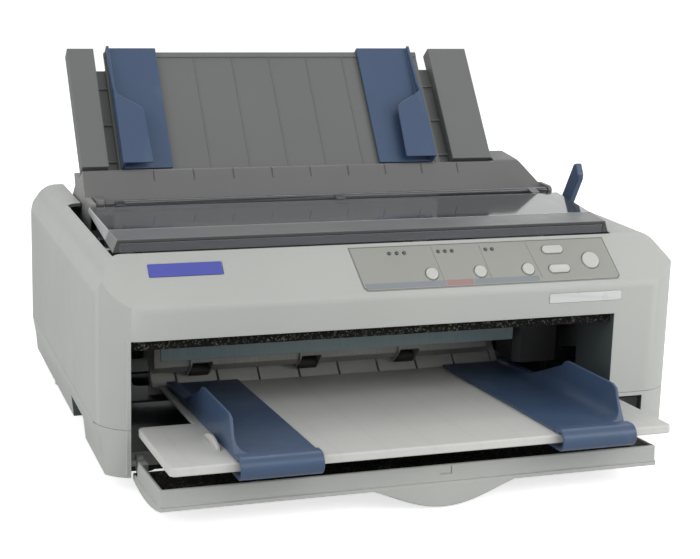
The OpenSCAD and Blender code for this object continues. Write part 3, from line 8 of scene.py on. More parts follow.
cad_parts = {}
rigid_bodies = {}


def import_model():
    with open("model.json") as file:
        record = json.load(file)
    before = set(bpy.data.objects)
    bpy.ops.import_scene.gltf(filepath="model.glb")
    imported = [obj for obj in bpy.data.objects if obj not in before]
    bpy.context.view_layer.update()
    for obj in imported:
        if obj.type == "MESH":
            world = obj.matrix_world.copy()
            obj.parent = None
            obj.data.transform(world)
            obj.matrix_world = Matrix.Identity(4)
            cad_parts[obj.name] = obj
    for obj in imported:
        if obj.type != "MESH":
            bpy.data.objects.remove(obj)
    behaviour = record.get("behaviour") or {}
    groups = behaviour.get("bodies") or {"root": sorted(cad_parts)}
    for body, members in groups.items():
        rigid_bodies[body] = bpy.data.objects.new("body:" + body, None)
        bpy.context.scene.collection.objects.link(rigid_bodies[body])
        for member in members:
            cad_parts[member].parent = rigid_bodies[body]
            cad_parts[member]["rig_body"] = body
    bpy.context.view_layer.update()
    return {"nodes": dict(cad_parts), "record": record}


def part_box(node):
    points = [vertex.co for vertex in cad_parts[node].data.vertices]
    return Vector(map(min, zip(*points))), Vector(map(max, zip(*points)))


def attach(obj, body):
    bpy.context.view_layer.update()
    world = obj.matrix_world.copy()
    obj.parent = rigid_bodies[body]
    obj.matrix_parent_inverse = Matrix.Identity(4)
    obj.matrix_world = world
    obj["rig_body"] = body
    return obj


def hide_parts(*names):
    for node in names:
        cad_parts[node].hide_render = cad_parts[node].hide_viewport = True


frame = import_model()
nodes = frame["nodes"]

# Drawing frame: millimetres, X from the middle of the body, Y from its front face, Z from the desk
case_low, case_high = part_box("lower_case")
ORIGIN = Vector(((case_low.x + case_high.x) / 2, case_low.y, 0))
MM = 0.001
HALF_WIDTH = (case_high.x - case_low.x) / 2 / MM
DEPTH = (case_high.y - case_low.y) / MM


def at(x, y, z):
    """A point of the drawing frame, in the part's own frame and in metres."""
    return ORIGIN + Vector((x, y, z)) * MM


def tilted(y, z, degrees):
    """Frame of a tilted part: millimetres across, along its face and off its face."""
    turn = Matrix.Rotation(math.radians(degrees), 4, "X")
    return Matrix.Translation(at(0, y, z)) @ turn @ Matrix.Scale(MM, 4)


UPRIGHT = tilted(y=0, z=0, degrees=0)
SLOPE = tilted(y=0, z=121.5, degrees=49.553)
COVER = tilted(y=9.3, z=17.5, degrees=-4.6)
FRONT_FACE = tilted(y=0.4, z=0, degrees=90)
# Millimetres back, up and to the right, for outlines drawn as seen from the right
SIDEWAYS = UPRIGHT @ Matrix(((0, 0, 1, 0), (1, 0, 0, 0), (0, 1, 0, 0), (0, 0, 0, 1)))

# Camera, fitted to the photograph: place and sensor in millimetres, angles in degrees, clipping in metres
CAMERA_AT = (-372.55, -937.23, 368.08)
CAMERA_YAW = 19.370
CAMERA_PITCH = 13.247
CAMERA_ROLL = 1.742
IMAGE_W = 700
FOCAL_PIXELS = 1567.04
SENSOR = 36.0
CLIP_NEAR = 0.05
CLIP_FAR = 20


def make_camera():
    """Camera at the photograph's view, turned by yaw, then pitch, then roll."""
    yaw, pitch, roll = (math.radians(a) for a in (CAMERA_YAW, CAMERA_PITCH, CAMERA_ROLL))
    ahead = Vector((math.sin(yaw) * math.cos(pitch), math.cos(yaw) * math.cos(pitch), -math.sin(pitch)))
    right = Vector((math.cos(yaw), -math.sin(yaw), 0))
    up = right.cross(ahead)
    rolled_right = right * math.cos(roll) + up * math.sin(roll)
    rolled_up = up * math.cos(roll) - right * math.sin(roll)
    data = bpy.data.cameras.new("photo_camera")
    data.sensor_width = SENSOR
    data.lens = FOCAL_PIXELS / IMAGE_W * SENSOR
    data.clip_start = CLIP_NEAR
    data.clip_end = CLIP_FAR
    camera = bpy.data.objects.new("photo_camera", data)
    bpy.context.scene.collection.objects.link(camera)
    turn = Matrix((rolled_right, rolled_up, -ahead)).transposed()
    camera.matrix_world = Matrix.Translation(at(*CAMERA_AT)) @ turn.to_4x4()
    bpy.context.scene.camera = camera


# Building blocks of the materials

# Most of a noise lies between these two values
NOISE_LOW = 0.3
NOISE_HIGH = 0.7
# Sockets of a colour mix
MIX_FACTOR = 0
MIX_FIRST = 6
MIX_SECOND = 7
MIX_RESULT = 2
# Length of one wave of the wave texture at scale 1
WAVE_LENGTH = 2 * math.pi / 20
WHITE = (1, 1, 1, 1)
BLACK = (0, 0, 0, 1)


def new_material(name):
    material = bpy.data.materials.new(name)
    material.use_nodes = True
    tree = material.node_tree
    return material, tree, tree.nodes["Principled BSDF"]


def add(tree, kind, **values):
    """A node with its properties and plain inputs set."""
    node = tree.nodes.new(kind)
    for key, value in values.items():
        if key in node.inputs:
            node.inputs[key].default_value = value
        else:
            setattr(node, key, value)
    return node


def object_noise(tree, scale, detail=3.0, roughness=0.55, stretch=(1, 1, 1)):
    """Noise fixed to the piece. scale is in cells per metre."""
    place = add(tree, "ShaderNodeTexCoord")
    mapping = add(tree, "ShaderNodeMapping", Scale=stretch)
    pattern = add(tree, "ShaderNodeTexNoise", Scale=scale, Detail=detail, Roughness=roughness)
    tree.links.new(place.outputs["Object"], mapping.inputs["Vector"])
    tree.links.new(mapping.outputs["Vector"], pattern.inputs["Vector"])
    return pattern.outputs["Fac"]


def ramp(tree, source, low, high, start, end):
    """Colour that runs from low to high while the source goes from start to end."""
    node = tree.nodes.new("ShaderNodeValToRGB")
    node.color_ramp.elements[0].position = start
    node.color_ramp.elements[1].position = end
    node.color_ramp.elements[0].color = low
    node.color_ramp.elements[1].color = high
    tree.links.new(source, node.inputs["Fac"])
    return node.outputs["Color"]


def span(tree, source, low, high, start=NOISE_LOW, end=NOISE_HIGH):
    """Value that runs from low to high while the source goes from start to end."""
    ends = {"From Min": start, "From Max": end, "To Min": low, "To Max": high}
    node = add(tree, "ShaderNodeMapRange", **ends)
    tree.links.new(source, node.inputs["Value"])
    return node.outputs["Result"]


def mixed(tree, first, second, factor):
    """Mix of two colours. Each of the three is a socket or a plain value."""
    node = add(tree, "ShaderNodeMix", data_type="RGBA")
    for slot, value in ((MIX_FACTOR, factor), (MIX_FIRST, first), (MIX_SECOND, second)):
        if isinstance(value, bpy.types.NodeSocket):
            tree.links.new(value, node.inputs[slot])
        else:
            node.inputs[slot].default_value = value
    return node.outputs[MIX_RESULT]


def shade(colour, factor):
    """A colour made lighter or darker, with full opacity."""
    return tuple(min(1.0, c * factor) for c in colour[:3]) + (1.0,)


def tones(tree, source, colour, darkest, palest, start=0.35, end=0.65):
    """The colour, from darkest to palest times itself while the source goes from start to end."""
    return ramp(tree, source, shade(colour, darkest), shade(colour, palest), start, end)


def set_colour(tree, bsdf, source):
    tree.links.new(source, bsdf.inputs["Base Color"])


def set_gloss(tree, bsdf, source, low, high):
    """Roughness that wanders from low to high with a noise."""
    tree.links.new(span(tree, source, low, high), bsdf.inputs["Roughness"])


def set_bump(tree, bsdf, source, strength, depth):
    """Fine relief from a noise. depth is in millimetres."""
    bump = add(tree, "ShaderNodeBump", Strength=strength, Distance=depth * MM)
    tree.links.new(source, bump.inputs["Height"])
    tree.links.new(bump.outputs["Normal"], bsdf.inputs["Normal"])


# Materials

MARK_COLOUR = (0.34, 0.36, 0.38, 1)
RUBBED_TONE = 1.25
BAND_TONE = 0.72
BAND_STRENGTH = 0.10


def rubbed(tree, under, colour):
    """Edges rubbed a little paler than the colour."""
    edge = add(tree, "ShaderNodeNewGeometry")
    amount = span(tree, edge.outputs["Pointiness"], low=0.0, high=0.35, start=0.53, end=0.62)
    return mixed(tree, under, shade(colour, RUBBED_TONE), amount)


def smeared(tree, under, most):
    """Dusty finger marks that lighten a colour in patches, by most where they are thickest."""
    patches = object_noise(tree, scale=26, detail=7, roughness=0.62, stretch=(1, 0.35, 0.6))
    return mixed(tree, under, MARK_COLOUR, span(tree, patches, low=0.0, high=most, start=0.56, end=0.74))


def moulded(name, colour, rough=0.5, grain=0.12, grain_size=0.7, drift=0.04, specular=0.4, smears=0.0):
    """Moulded plastic: spark-eroded grain, slow drift in tone and gloss, and rubbed edges.

    grain is the strength of its relief, grain_size is in millimetres, drift is a share of the tone, and
    smears is how much dusty finger marks lighten it."""
    material, tree, bsdf = new_material(name)
    slow = object_noise(tree, scale=9, detail=2)
    fine = object_noise(tree, scale=1 / (grain_size * MM), detail=2)
    tone = tones(tree, slow, colour, darkest=1 - drift, palest=1 + drift)
    speck = tones(tree, fine, colour, darkest=0.93, palest=1.05, start=0.3, end=0.7)
    surface = rubbed(tree, mixed(tree, tone, speck, factor=0.4), colour)
    if smears:
        surface = smeared(tree, surface, smears)
    set_colour(tree, bsdf, surface)
    set_gloss(tree, bsdf, object_noise(tree, scale=45, detail=4), low=rough - 0.05, high=rough + 0.06)
    set_bump(tree, bsdf, fine, strength=grain, depth=0.2)
    bsdf.inputs["Specular IOR Level"].default_value = specular
    return material


def smoked(name, colour, alpha, rough=0.05):
    """Clear plastic with a grey smoke tint, faint streaks and dust."""
    material, tree, bsdf = new_material(name)
    streaks = object_noise(tree, scale=30, detail=4, stretch=(0.25, 1, 1))
    set_colour(tree, bsdf, tones(tree, streaks, colour, darkest=0.92, palest=1.08))
    set_gloss(tree, bsdf, object_noise(tree, scale=120, detail=5), low=rough, high=rough + 0.06)
    bsdf.inputs["Alpha"].default_value = alpha
    bsdf.inputs["Specular IOR Level"].default_value = 0.5
    bsdf.inputs["Coat Weight"].default_value = 0.3
    bsdf.inputs["Coat Roughness"].default_value = 0.03
    return material


def foam(name, colour, speck_colour, cell=0.9):
    """Open-cell foam: near black, with fine pale specks and a rough surface. cell is in millimetres."""
    material, tree, bsdf = new_material(name)
    place = add(tree, "ShaderNodeTexCoord")
    cells = add(tree, "ShaderNodeTexVoronoi", Scale=1 / (cell * MM))
    tree.links.new(place.outputs["Object"], cells.inputs["Vector"])
    dark = shade(colour, 1)
    specks = ramp(tree, cells.outputs["Color"], dark, shade(speck_colour, 1), start=0.66, end=0.84)
    bare_patches = span(tree, object_noise(tree, scale=150, detail=3), low=0.0, high=0.9)
    set_colour(tree, bsdf, mixed(tree, specks, dark, bare_patches))
    set_bump(tree, bsdf, cells.outputs["Distance"], strength=0.7, depth=0.5)
    bsdf.inputs["Roughness"].default_value = 0.95
    bsdf.inputs["Specular IOR Level"].default_value = 0.2
    return material


def ribbed(name, colour, pitch, middle):
    """Pale moulding whose ribs underneath show through as faint bands. pitch and middle are in metres."""
    material = moulded(name, colour, rough=0.46, grain=0.10, grain_size=0.6)
    tree = material.node_tree
    bsdf = tree.nodes["Principled BSDF"]
    plain = bsdf.inputs["Base Color"].links[0].from_socket
    place = add(tree, "ShaderNodeTexCoord")
    mapping = add(tree, "ShaderNodeMapping", Location=(-middle, 0, 0))
    bands = add(tree, "ShaderNodeTexWave", bands_direction="X", wave_profile="SIN", Distortion=0)
    bands.inputs["Scale"].default_value = WAVE_LENGTH / pitch
    tree.links.new(place.outputs["Object"], mapping.inputs["Vector"])
    tree.links.new(mapping.outputs["Vector"], bands.inputs["Vector"])
    line = ramp(tree, bands.outputs["Color"], WHITE, BLACK, start=0.0, end=0.06)
    faint = add(tree, "ShaderNodeMath", operation="MULTIPLY")
    faint.inputs[1].default_value = BAND_STRENGTH
    tree.links.new(line, faint.inputs[0])
    set_colour(tree, bsdf, mixed(tree, plain, shade(colour, BAND_TONE), faint.outputs[0]))
    return material


def sheet_metal(name, colour, rough=0.38, metallic=1.0):
    """Plated or painted sheet with fine drawn lines and dull patches."""
    material, tree, bsdf = new_material(name)
    lines = object_noise(tree, scale=60, detail=5, stretch=(40, 1, 1))
    set_colour(tree, bsdf, tones(tree, lines, colour, darkest=0.88, palest=1.08))
    set_gloss(tree, bsdf, object_noise(tree, scale=25, detail=4), low=rough - 0.1, high=rough + 0.14)
    set_bump(tree, bsdf, lines, strength=0.06, depth=0.2)
    bsdf.inputs["Metallic"].default_value = metallic
    return material


def circuit_board(name):
    """Green board with lighter traces under its mask."""
    material, tree, bsdf = new_material(name)
    place = add(tree, "ShaderNodeTexCoord")
    bricks = add(tree, "ShaderNodeTexBrick", Scale=160)
    bricks.inputs["Mortar Size"].default_value = 0.03
    bricks.inputs["Color1"].default_value = (0.008, 0.045, 0.022, 1)
    bricks.inputs["Color2"].default_value = (0.010, 0.056, 0.026, 1)
    bricks.inputs["Mortar"].default_value = (0.030, 0.100, 0.045, 1)
    tree.links.new(place.outputs["Object"], bricks.inputs["Vector"])
    set_colour(tree, bsdf, bricks.outputs["Color"])
    set_gloss(tree, bsdf, object_noise(tree, scale=200), low=0.3, high=0.45)
    return material


def soft_rubber(name, colour):
    """Rubber, duller and paler where dust lies on it."""
    material, tree, bsdf = new_material(name)
    dust = object_noise(tree, scale=80, detail=5)
    set_colour(tree, bsdf, tones(tree, dust, colour, darkest=0.85, palest=1.5))
    set_gloss(tree, bsdf, dust, low=0.62, high=0.8)
    set_bump(tree, bsdf, object_noise(tree, scale=1500), strength=0.15, depth=0.3)
    return material


BLUE = (0.052, 0.088, 0.160)
ENAMEL = (0.066, 0.080, 0.410)
FILM = (0.330, 0.332, 0.300)
RIB_PITCH = 30.6 * MM
RIB_MIDDLE = at(-15.4, 0, 0).x
# One material for each slot of the record
MATERIALS = {
    "case": moulded("case_plastic", (0.475, 0.485, 0.460), rough=0.52, grain=0.16, grain_size=0.6),
    "pale": ribbed("pale_plastic", (0.62, 0.62, 0.59), RIB_PITCH, RIB_MIDDLE),
    "grey": moulded("grey_plastic", (0.150, 0.155, 0.150), grain=0.16, grain_size=0.6),
    "hood": moulded("hood_plastic", (0.145, 0.142, 0.140), rough=0.42, grain=0.08, grain_size=0.6),
    "blue": moulded("blue_plastic", BLUE, rough=0.34, grain=0.06, grain_size=0.6, smears=0.10),
    "black": moulded("black_plastic", (0.014, 0.014, 0.016), rough=0.45, grain=0.10, grain_size=0.6),
    "smoke": smoked("smoked_plastic", (0.075, 0.080, 0.088), alpha=0.86),
    "foam": foam("speckled_foam", (0.006, 0.006, 0.006), (0.16, 0.15, 0.12)),
    "rubber": soft_rubber("black_rubber", (0.02, 0.02, 0.02)),
    "steel": sheet_metal("plated_steel", (0.50, 0.49, 0.47)),
    "teal": sheet_metal("teal_paint", (0.205, 0.270, 0.280), rough=0.5, metallic=0.0),
    "gear": moulded("natural_nylon", (0.62, 0.60, 0.52), rough=0.4, grain=0.05),
    "board": circuit_board("circuit_board"),
}
# Finishes of single pieces, apart from their slot's own
FINISHES = {
    "film": moulded("panel_film", FILM, rough=0.38, grain=0.05, grain_size=0.3, drift=0.03),
    "button": moulded("button_plastic", (0.56, 0.56, 0.53), rough=0.36, grain=0.04, drift=0.03),
    "enamel": moulded("blue_enamel", ENAMEL, rough=0.22, grain=0.03, drift=0.06, specular=0.6),
    "silver": moulded("silver_plate", (0.60, 0.61, 0.60), rough=0.3, grain=0.05, drift=0.05, specular=0.6),
    "band_blue": moulded("printed_grey_blue", (0.225, 0.250, 0.265), rough=0.4, grain=0.04),
    "band_red": moulded("printed_red", (0.330, 0.205, 0.195), rough=0.4, grain=0.04),
    # Dark lines painted as shade: round the recessed edge of the control panel and in the groove at the
    # foot of the front cover's rim
    "line": moulded("painted_shade_line", (0.070, 0.074, 0.074), grain=0.04),
    "lamp": moulded("lamp_lens", (0.060, 0.070, 0.062), rough=0.14, grain=0.02, drift=0.1, specular=0.6),
    "bar": moulded("cover_bar_plastic", (0.135, 0.137, 0.138), rough=0.36, grain=0.08, grain_size=0.5),
    # Near black lip: its own smoke tint, together with painted shade of the dark inside that shows through
    # the smoked plastic
    "lip": moulded("cover_lip_smoke_and_painted_shade", (0.050, 0.050, 0.051), rough=0.22, grain=0.10, grain_size=0.5),
    "side": smoked("cover_side_plastic", (0.48, 0.49, 0.48), alpha=0.92, rough=0.14),
    "cheek": moulded("hood_cheek_plastic", (0.26, 0.262, 0.255), grain_size=0.6),
    # Near black: painted shade on the inner walls left of the mouth, on the base frame and on the step in
    # the mouth's left corner
    "deep": moulded("painted_shade_near_black", (0.016, 0.019, 0.019), rough=0.6, grain=0.2, grain_size=0.5),
    # Pale strip colour: a painted highlight along the edge where the cover's bar meets its window
    "ridge": smoked("cover_ridge_painted_highlight", (0.30, 0.31, 0.32), alpha=1.0, rough=0.12),
    # Darker grey on the inner faces of the case: painted shade inside it
    "inside": moulded("painted_shade_inner_faces", (0.085, 0.104, 0.104), grain=0.2, grain_size=0.4, drift=0.2),
    "frame": sheet_metal("dull_steel", (0.16, 0.16, 0.16), rough=0.5, metallic=0.6),
    "satin": sheet_metal("satin_steel", (0.40, 0.39, 0.365), rough=0.5, metallic=0.35),
    # Darker copy of the frame steel for the left frame: painted shade on the left of the inside
    "dark": sheet_metal("painted_shade_dark_steel", (0.045, 0.047, 0.047), rough=0.6, metallic=0.4),
}
SLOT_OF = {row["node"]: row["material_slot"] for row in frame["record"]["subparts"]}


def coat(piece, material):
    """Coats a whole piece in one material."""
    piece.data.materials.clear()
    piece.data.materials.append(material)


def dress(piece, slot):
    """Coats a piece made here in the material of its slot."""
    coat(piece, MATERIALS[slot])


def finish_faces(piece, name, wanted):
    """Gives a second finish to the faces whose centre (drawing frame) and normal are wanted."""
    piece.data.materials.append(FINISHES[name])
    index = len(piece.data.materials) - 1
    for face in piece.data.polygons:
        if wanted((face.center - ORIGIN) / MM, face.normal):
            face.material_index = index


# Refined copies of the CAD nodes

# Width in millimetres of the rounded edges of each node that gets a refined copy
EDGES = {
    "upper_case": 0.4, "lower_case": 0.35, "front_sheet_guide": 0.9, "front_cover": 0.8,
    "separator_hood": 0.5, "rear_sheet_guide": 0.5, "rear_edge_guide_left": 0.6,
    "rear_edge_guide_right": 0.6, "front_edge_guide_left": 0.6, "front_edge_guide_right": 0.6,
    "cover_bar": 0.5, "cover_window": 0.4, "release_lever": 0.8, "control_panel": 0.2,
    "select_button_1": 0.3, "select_button_2": 0.3, "select_button_3": 0.3, "feed_button": 0.4,
    "load_button": 0.4, "pause_button": 0.3, "power_switch": 0.4, "rubber_feet": 0.4,
    "thickness_lever": 0.4, "cross_beam": 0.3, "lower_paper_guide": 0.3, "ribbon_cartridge": 0.6,
    "carriage": 0.4, "print_head": 0.3,
}
SHARP_ANGLE = math.radians(32)
ROUNDING_STEPS = 2
# Points closer than this many metres are one, and faces within this angle are flat
SAME_POINT = 0.000002
FLAT_ANGLE = math.radians(0.3)
# An edge leaves another sideways if the cosine between them is under this
SIDEWAYS_COSINE = 0.7
# A short edge holds the rounding at both its ends if it is this many widths long
ROOM_IN_WIDTHS = 2.2
# Metres of room for an edge that no other edge leaves sideways
PLENTY_OF_ROOM = 1.0
# How much more a large face counts than a small one, out of 100
NORMAL_WEIGHT = 100


def weigh_normals(piece):
    """Keeps large flat faces flat in the light, with all the turn in the rounded edges."""
    even = piece.modifiers.new("even_normals", "WEIGHTED_NORMAL")
    even.mode = "FACE_AREA"
    even.weight = NORMAL_WEIGHT
    even.keep_sharp = True


def edge_room(edge):
    """Length of the shortest edge that leaves either end of this one sideways."""
    along = (edge.verts[1].co - edge.verts[0].co).normalized()
    room = PLENTY_OF_ROOM
    for corner in edge.verts:
        for other in corner.link_edges:
            way = (other.other_vert(corner).co - corner.co).normalized()
            if abs(way.dot(along)) < SIDEWAYS_COSINE:
                room = min(room, other.calc_length())
    return room


def weigh_edges(work, width):
    """Marks the sharp edges for the bevel, less where a short edge leaves them no room."""
    layer = work.edges.layers.float.new("bevel_weight_edge")
    for edge in work.edges:
        if len(edge.link_faces) == 2 and edge.calc_face_angle(0) > SHARP_ANGLE:
            edge[layer] = min(1.0, edge_room(edge) / (ROOM_IN_WIDTHS * width * MM))


def smooth_mesh(node, width):
    """A copy of a node's mesh with its flat faces joined and its sharp edges marked."""
    mesh = nodes[node].data.copy()
    work = bmesh.new()
    work.from_mesh(mesh)
    bmesh.ops.remove_doubles(work, verts=work.verts, dist=SAME_POINT)
    bmesh.ops.dissolve_limit(work, angle_limit=FLAT_ANGLE, verts=work.verts, edges=work.edges)
    weigh_edges(work, width)
    work.to_mesh(mesh)
    work.free()
    mesh.set_sharp_from_angle(angle=SHARP_ANGLE)
    for face in mesh.polygons:
        face.use_smooth = True
    return mesh


def round_edges(piece, width, limit):
    """Rounds the edges that the limit names, by their marks (WEIGHT) or by their angle (ANGLE)."""
    bevel = piece.modifiers.new("rounded_edges", "BEVEL")
    bevel.width = width * MM
    bevel.segments = ROUNDING_STEPS
    bevel.limit_method = limit
    weigh_normals(piece)
    return bevel


def refined(node, width):
    """A copy of a CAD node with its sharp edges rounded off."""
    mesh = smooth_mesh(node, width)
    piece = bpy.data.objects.new("fine_" + node, mesh)
    bpy.context.scene.collection.objects.link(piece)
    if mesh.has_custom_normals:
        bpy.context.view_layer.objects.active = piece
        bpy.ops.mesh.customdata_custom_splitnormals_clear()
    bevel = round_edges(piece, width, "WEIGHT")
    bevel.use_clamp_overlap = False
    bevel.loop_slide = False
    dress(piece, SLOT_OF[node])
    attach(piece, nodes[node]["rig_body"])
    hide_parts(node)
    return piece


# Finishes on nodes and on some of their faces

NODE_FINISH = {
    "control_panel": "film", "select_button_1": "button", "select_button_2": "button",
    "select_button_3": "button", "feed_button": "button", "load_button": "button", "pause_button": "button",
    # The left frame's dark finish is painted shade, darker than the right frame's steel
    "cover_bar": "bar", "left_frame": "dark", "right_frame": "frame", "gear_plate": "frame",
    # The base frame's deep finish is near black painted shade
    "base_frame": "deep", "paper_guide_plate": "satin",
}
# How far a face's normal reaches along the way that it looks: partly, mostly or almost wholly
PARTLY = 0.15
MOSTLY = 0.6
WHOLLY = 0.9
# How far in from the sides, the back and the front an outer face of the case can lie
SIDE_BAND = 22
BACK_BAND = 42
FRONT_BAND = 32
# Y behind the front wall, Z above which faces belong to the top, and Z below which to the foot
BEHIND_FRONT_WALL = 3.2
TOP_FROM = 110
FOOT_BELOW = 20
# The walls left of the mouth: X that they stay left of, and Z that they stay under
LEFT_WALLS = -150
WALLS_BELOW = 118
# Y that the lip of the bar stays in front of, and X that the left ends of the covers stay left of
LIP_BEFORE = 27.5
LEFT_END = -170


def faces_out(centre, normal):
    """True for a face of the case that looks out at the front, at the back or at a side."""
    side = normal.x * math.copysign(1, centre.x) > PARTLY and abs(centre.x) > HALF_WIDTH - SIDE_BAND
    back = normal.y > PARTLY and centre.y > DEPTH - BACK_BAND
    front = normal.y < -PARTLY and centre.y < FRONT_BAND
    return side or back or front


def inside_upper(centre, normal):
    """True for a face of the upper case that neither looks out nor belongs to its top."""
    top = normal.z > PARTLY and centre.z > TOP_FROM
    return centre.y > BEHIND_FRONT_WALL and not faces_out(centre, normal) and not top


def inside_lower(centre, normal):
    """True for a face of the lower case that neither looks out nor belongs to its foot."""
    foot = normal.z < -PARTLY and centre.z < FOOT_BELOW
    return centre.y > BEHIND_FRONT_WALL and not faces_out(centre, normal) and not foot


def left_of_mouth(centre, normal):
    """True for an inner wall of the case left of the mouth, which sees no light."""
    near = centre.x < LEFT_WALLS and centre.z < WALLS_BELOW
    return near and normal.x > MOSTLY and centre.y > BEHIND_FRONT_WALL


def lip_of_bar(centre, normal):
    """True for the front lip of the printer cover's bar."""
    return normal.y < -WHOLLY and centre.y < LIP_BEFORE


def left_side(centre, normal):
    """True for the left end of the cover's window or of the hood."""
    return normal.x < -MOSTLY and centre.x < LEFT_END


FACE_FINISH = (
    # Painted shade: a darker grey on the inner faces of the upper and lower case
    ("upper_case", "inside", inside_upper),
    ("lower_case", "inside", inside_lower),
    # The bar's lip: smoke tint with painted shade of the dark inside behind it
    ("cover_bar", "lip", lip_of_bar),
    ("cover_window", "side", left_side),
    ("separator_hood", "cheek", left_side),
    # The walls left of the mouth get near black painted shade
    ("upper_case", "deep", left_of_mouth),
    ("lower_case", "deep", left_of_mouth),
)
# Foam sheets, with the frame that each is built in
FOAM_SHEETS = {"mouth_foam": UPRIGHT, "front_cover_foam": COVER}


def refine_nodes():
    """Refines the nodes that have edges to round, and gives every node but the foam its looks."""
    pieces = {node: refined(node, width) for node, width in EDGES.items()}
    for node, thing in nodes.items():
        if node in FOAM_SHEETS:
            continue
        if node not in EDGES:
            coat(thing, MATERIALS[SLOT_OF[node]])
            pieces[node] = thing
        if node in NODE_FINISH:
            coat(pieces[node], FINISHES[NODE_FINISH[node]])
    for node, name, wanted in FACE_FINISH:
        finish_faces(pieces[node], name, wanted)


# Shapes drawn here


def settle(name, work, place, body, slot, finish_name=None, edge=0.0, smooth=False):
    """Turns a bmesh drawn in a frame into a piece that rides on a body. edge is in millimetres."""
    bmesh.ops.recalc_face_normals(work, faces=work.faces)
    mesh = bpy.data.meshes.new(name)
    work.to_mesh(mesh)
    work.free()
    mesh.transform(place)
    for face in mesh.polygons:
        face.use_smooth = smooth
    piece = bpy.data.objects.new(name, mesh)
    bpy.context.scene.collection.objects.link(piece)
    if edge:
        round_edges(piece, edge, "ANGLE")
    dress(piece, slot)
    if finish_name:
        coat(piece, FINISHES[finish_name])
    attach(piece, body)
    return piece


def join_rings(work, rings, closed=False):
    """Faces between each ring of points and the next, and from the last to the first if closed."""
    followers = rings[1:] + rings[:1] if closed else rings[1:]
    for first, second in zip(rings, followers):
        for i in range(len(first)):
            j = (i + 1) % len(first)
            work.faces.new((first[i], first[j], second[j], second[i]))


def prism(outline, low, high):
    """Closed prism over an outline, from low to high off the face."""
    work = bmesh.new()
    rings = [[work.verts.new((x, y, z)) for x, y in outline] for z in (low, high)]
    work.faces.new(rings[0])
    work.faces.new(rings[1])
    join_rings(work, rings)
    return work


def narrow_frame(outline, inset, low, high):
    """Closed narrow frame that follows the inside of an outline, from low to high off the face."""
    middle = Vector((sum(p[0] for p in outline), sum(p[1] for p in outline))) / len(outline)
    inner = []
    for x, y in outline:
        away = Vector((x, y)) - middle
        inner.append((x - math.copysign(inset, away.x), y - math.copysign(inset, away.y)))
    work = bmesh.new()
    rings = []
    for points, z in ((outline, low), (outline, high), (inner, high), (inner, low)):
        rings.append([work.verts.new((x, y, z)) for x, y in points])
    join_rings(work, rings, closed=True)
    return work


def turned(profile, centre, steps=24):
    """Solid of revolution about an axis off the face, from (radius, height) pairs."""
    work = bmesh.new()
    rings = []
    for radius, height in profile:
        ring = []
        for i in range(steps):
            angle = 2 * math.pi * i / steps
            x = centre[0] + radius * math.cos(angle)
            y = centre[1] + radius * math.sin(angle)
            ring.append(work.verts.new((x, y, height)))
        rings.append(ring)
    join_rings(work, rings)
    work.faces.new(rings[0])
    work.faces.new(rings[-1])
    return work


def soft_outline(x0, y0, x1, y1, radius, lean=0.0, steps=5):
    """Rectangle with round corners, leaning by lean across its height."""
    points = []
    for cx, cy, start in ((x1, y1, 0), (x0, y1, 90), (x0, y0, 180), (x1, y0, 270)):
        ax = cx - math.copysign(radius, cx - (x0 + x1) / 2)
        ay = cy - math.copysign(radius, cy - (y0 + y1) / 2)
        for i in range(steps + 1):
            angle = math.radians(start + 90 * i / steps)
            px = ax + radius * math.cos(angle)
            py = ay + radius * math.sin(angle)
            points.append((px + lean * (py - y0) / (y1 - y0), py))
    return points


# Plates, on the slope and on the front face, each given as left, bottom, right and top

BLUE_PLATE = (-172.3, 22.2, -124.1, 31.4)
BLUE_PLATE_RADIUS = 1.0
BLUE_PLATE_LEAN = -0.6
BLUE_PLATE_BACK = -0.45
BLUE_PLATE_FACE = 0.55
PALE_PLATE = (102.2, 110.3, 157.2, 116.9)
PALE_PLATE_RADIUS = 0.6
PALE_PLATE_FACE = 0.75


def make_plates():
    """The blue plate and the pale plate, both bare."""
    outline = soft_outline(*BLUE_PLATE, BLUE_PLATE_RADIUS, lean=BLUE_PLATE_LEAN)
    plate = prism(outline, BLUE_PLATE_BACK, BLUE_PLATE_FACE)
    settle("blue_plate", plate, SLOPE, "printer", "case", "enamel", edge=0.25)
    plate = prism(soft_outline(*PALE_PLATE, PALE_PLATE_RADIUS), 0.0, PALE_PLATE_FACE)
    settle("pale_plate", plate, FRONT_FACE, "printer", "pale", "silver", edge=0.2)


# Control panel, drawn on the slope

PANEL_EDGE = ((-36.6, 36.8), (-31.5, 6.7), (-29.2, 4.4), (155.0, 4.4), (157.0, 6.6), (151.5, 36.8))
PANEL_LINE = 0.35
FILM_TOP = 0.3
PRINT_DEPTH = 0.1
LINE_RISE = 0.05
FIELD_RISE = 0.04
FIELD_BOTTOM = 5.4
FIELD_TOP = 9.6
FIELD_RADIUS = 0.2
# Left, right and finish of each field
FIELDS = ((-30.4, 26.8, "band_blue"), (27.4, 47.0, "band_red"), (47.6, 96.0, "band_blue"))
LAMP_Y = 31.5
LAMPS_X = (-8.8, -3.4, 1.9, 26.5, 31.5, 36.5, 61.3, 66.2)
# Radius and height of each ring of a lamp
LAMP_PROFILE = ((1.22, 0.28), (1.22, 0.5), (1.05, 0.78), (0.7, 0.98), (0.3, 1.06))


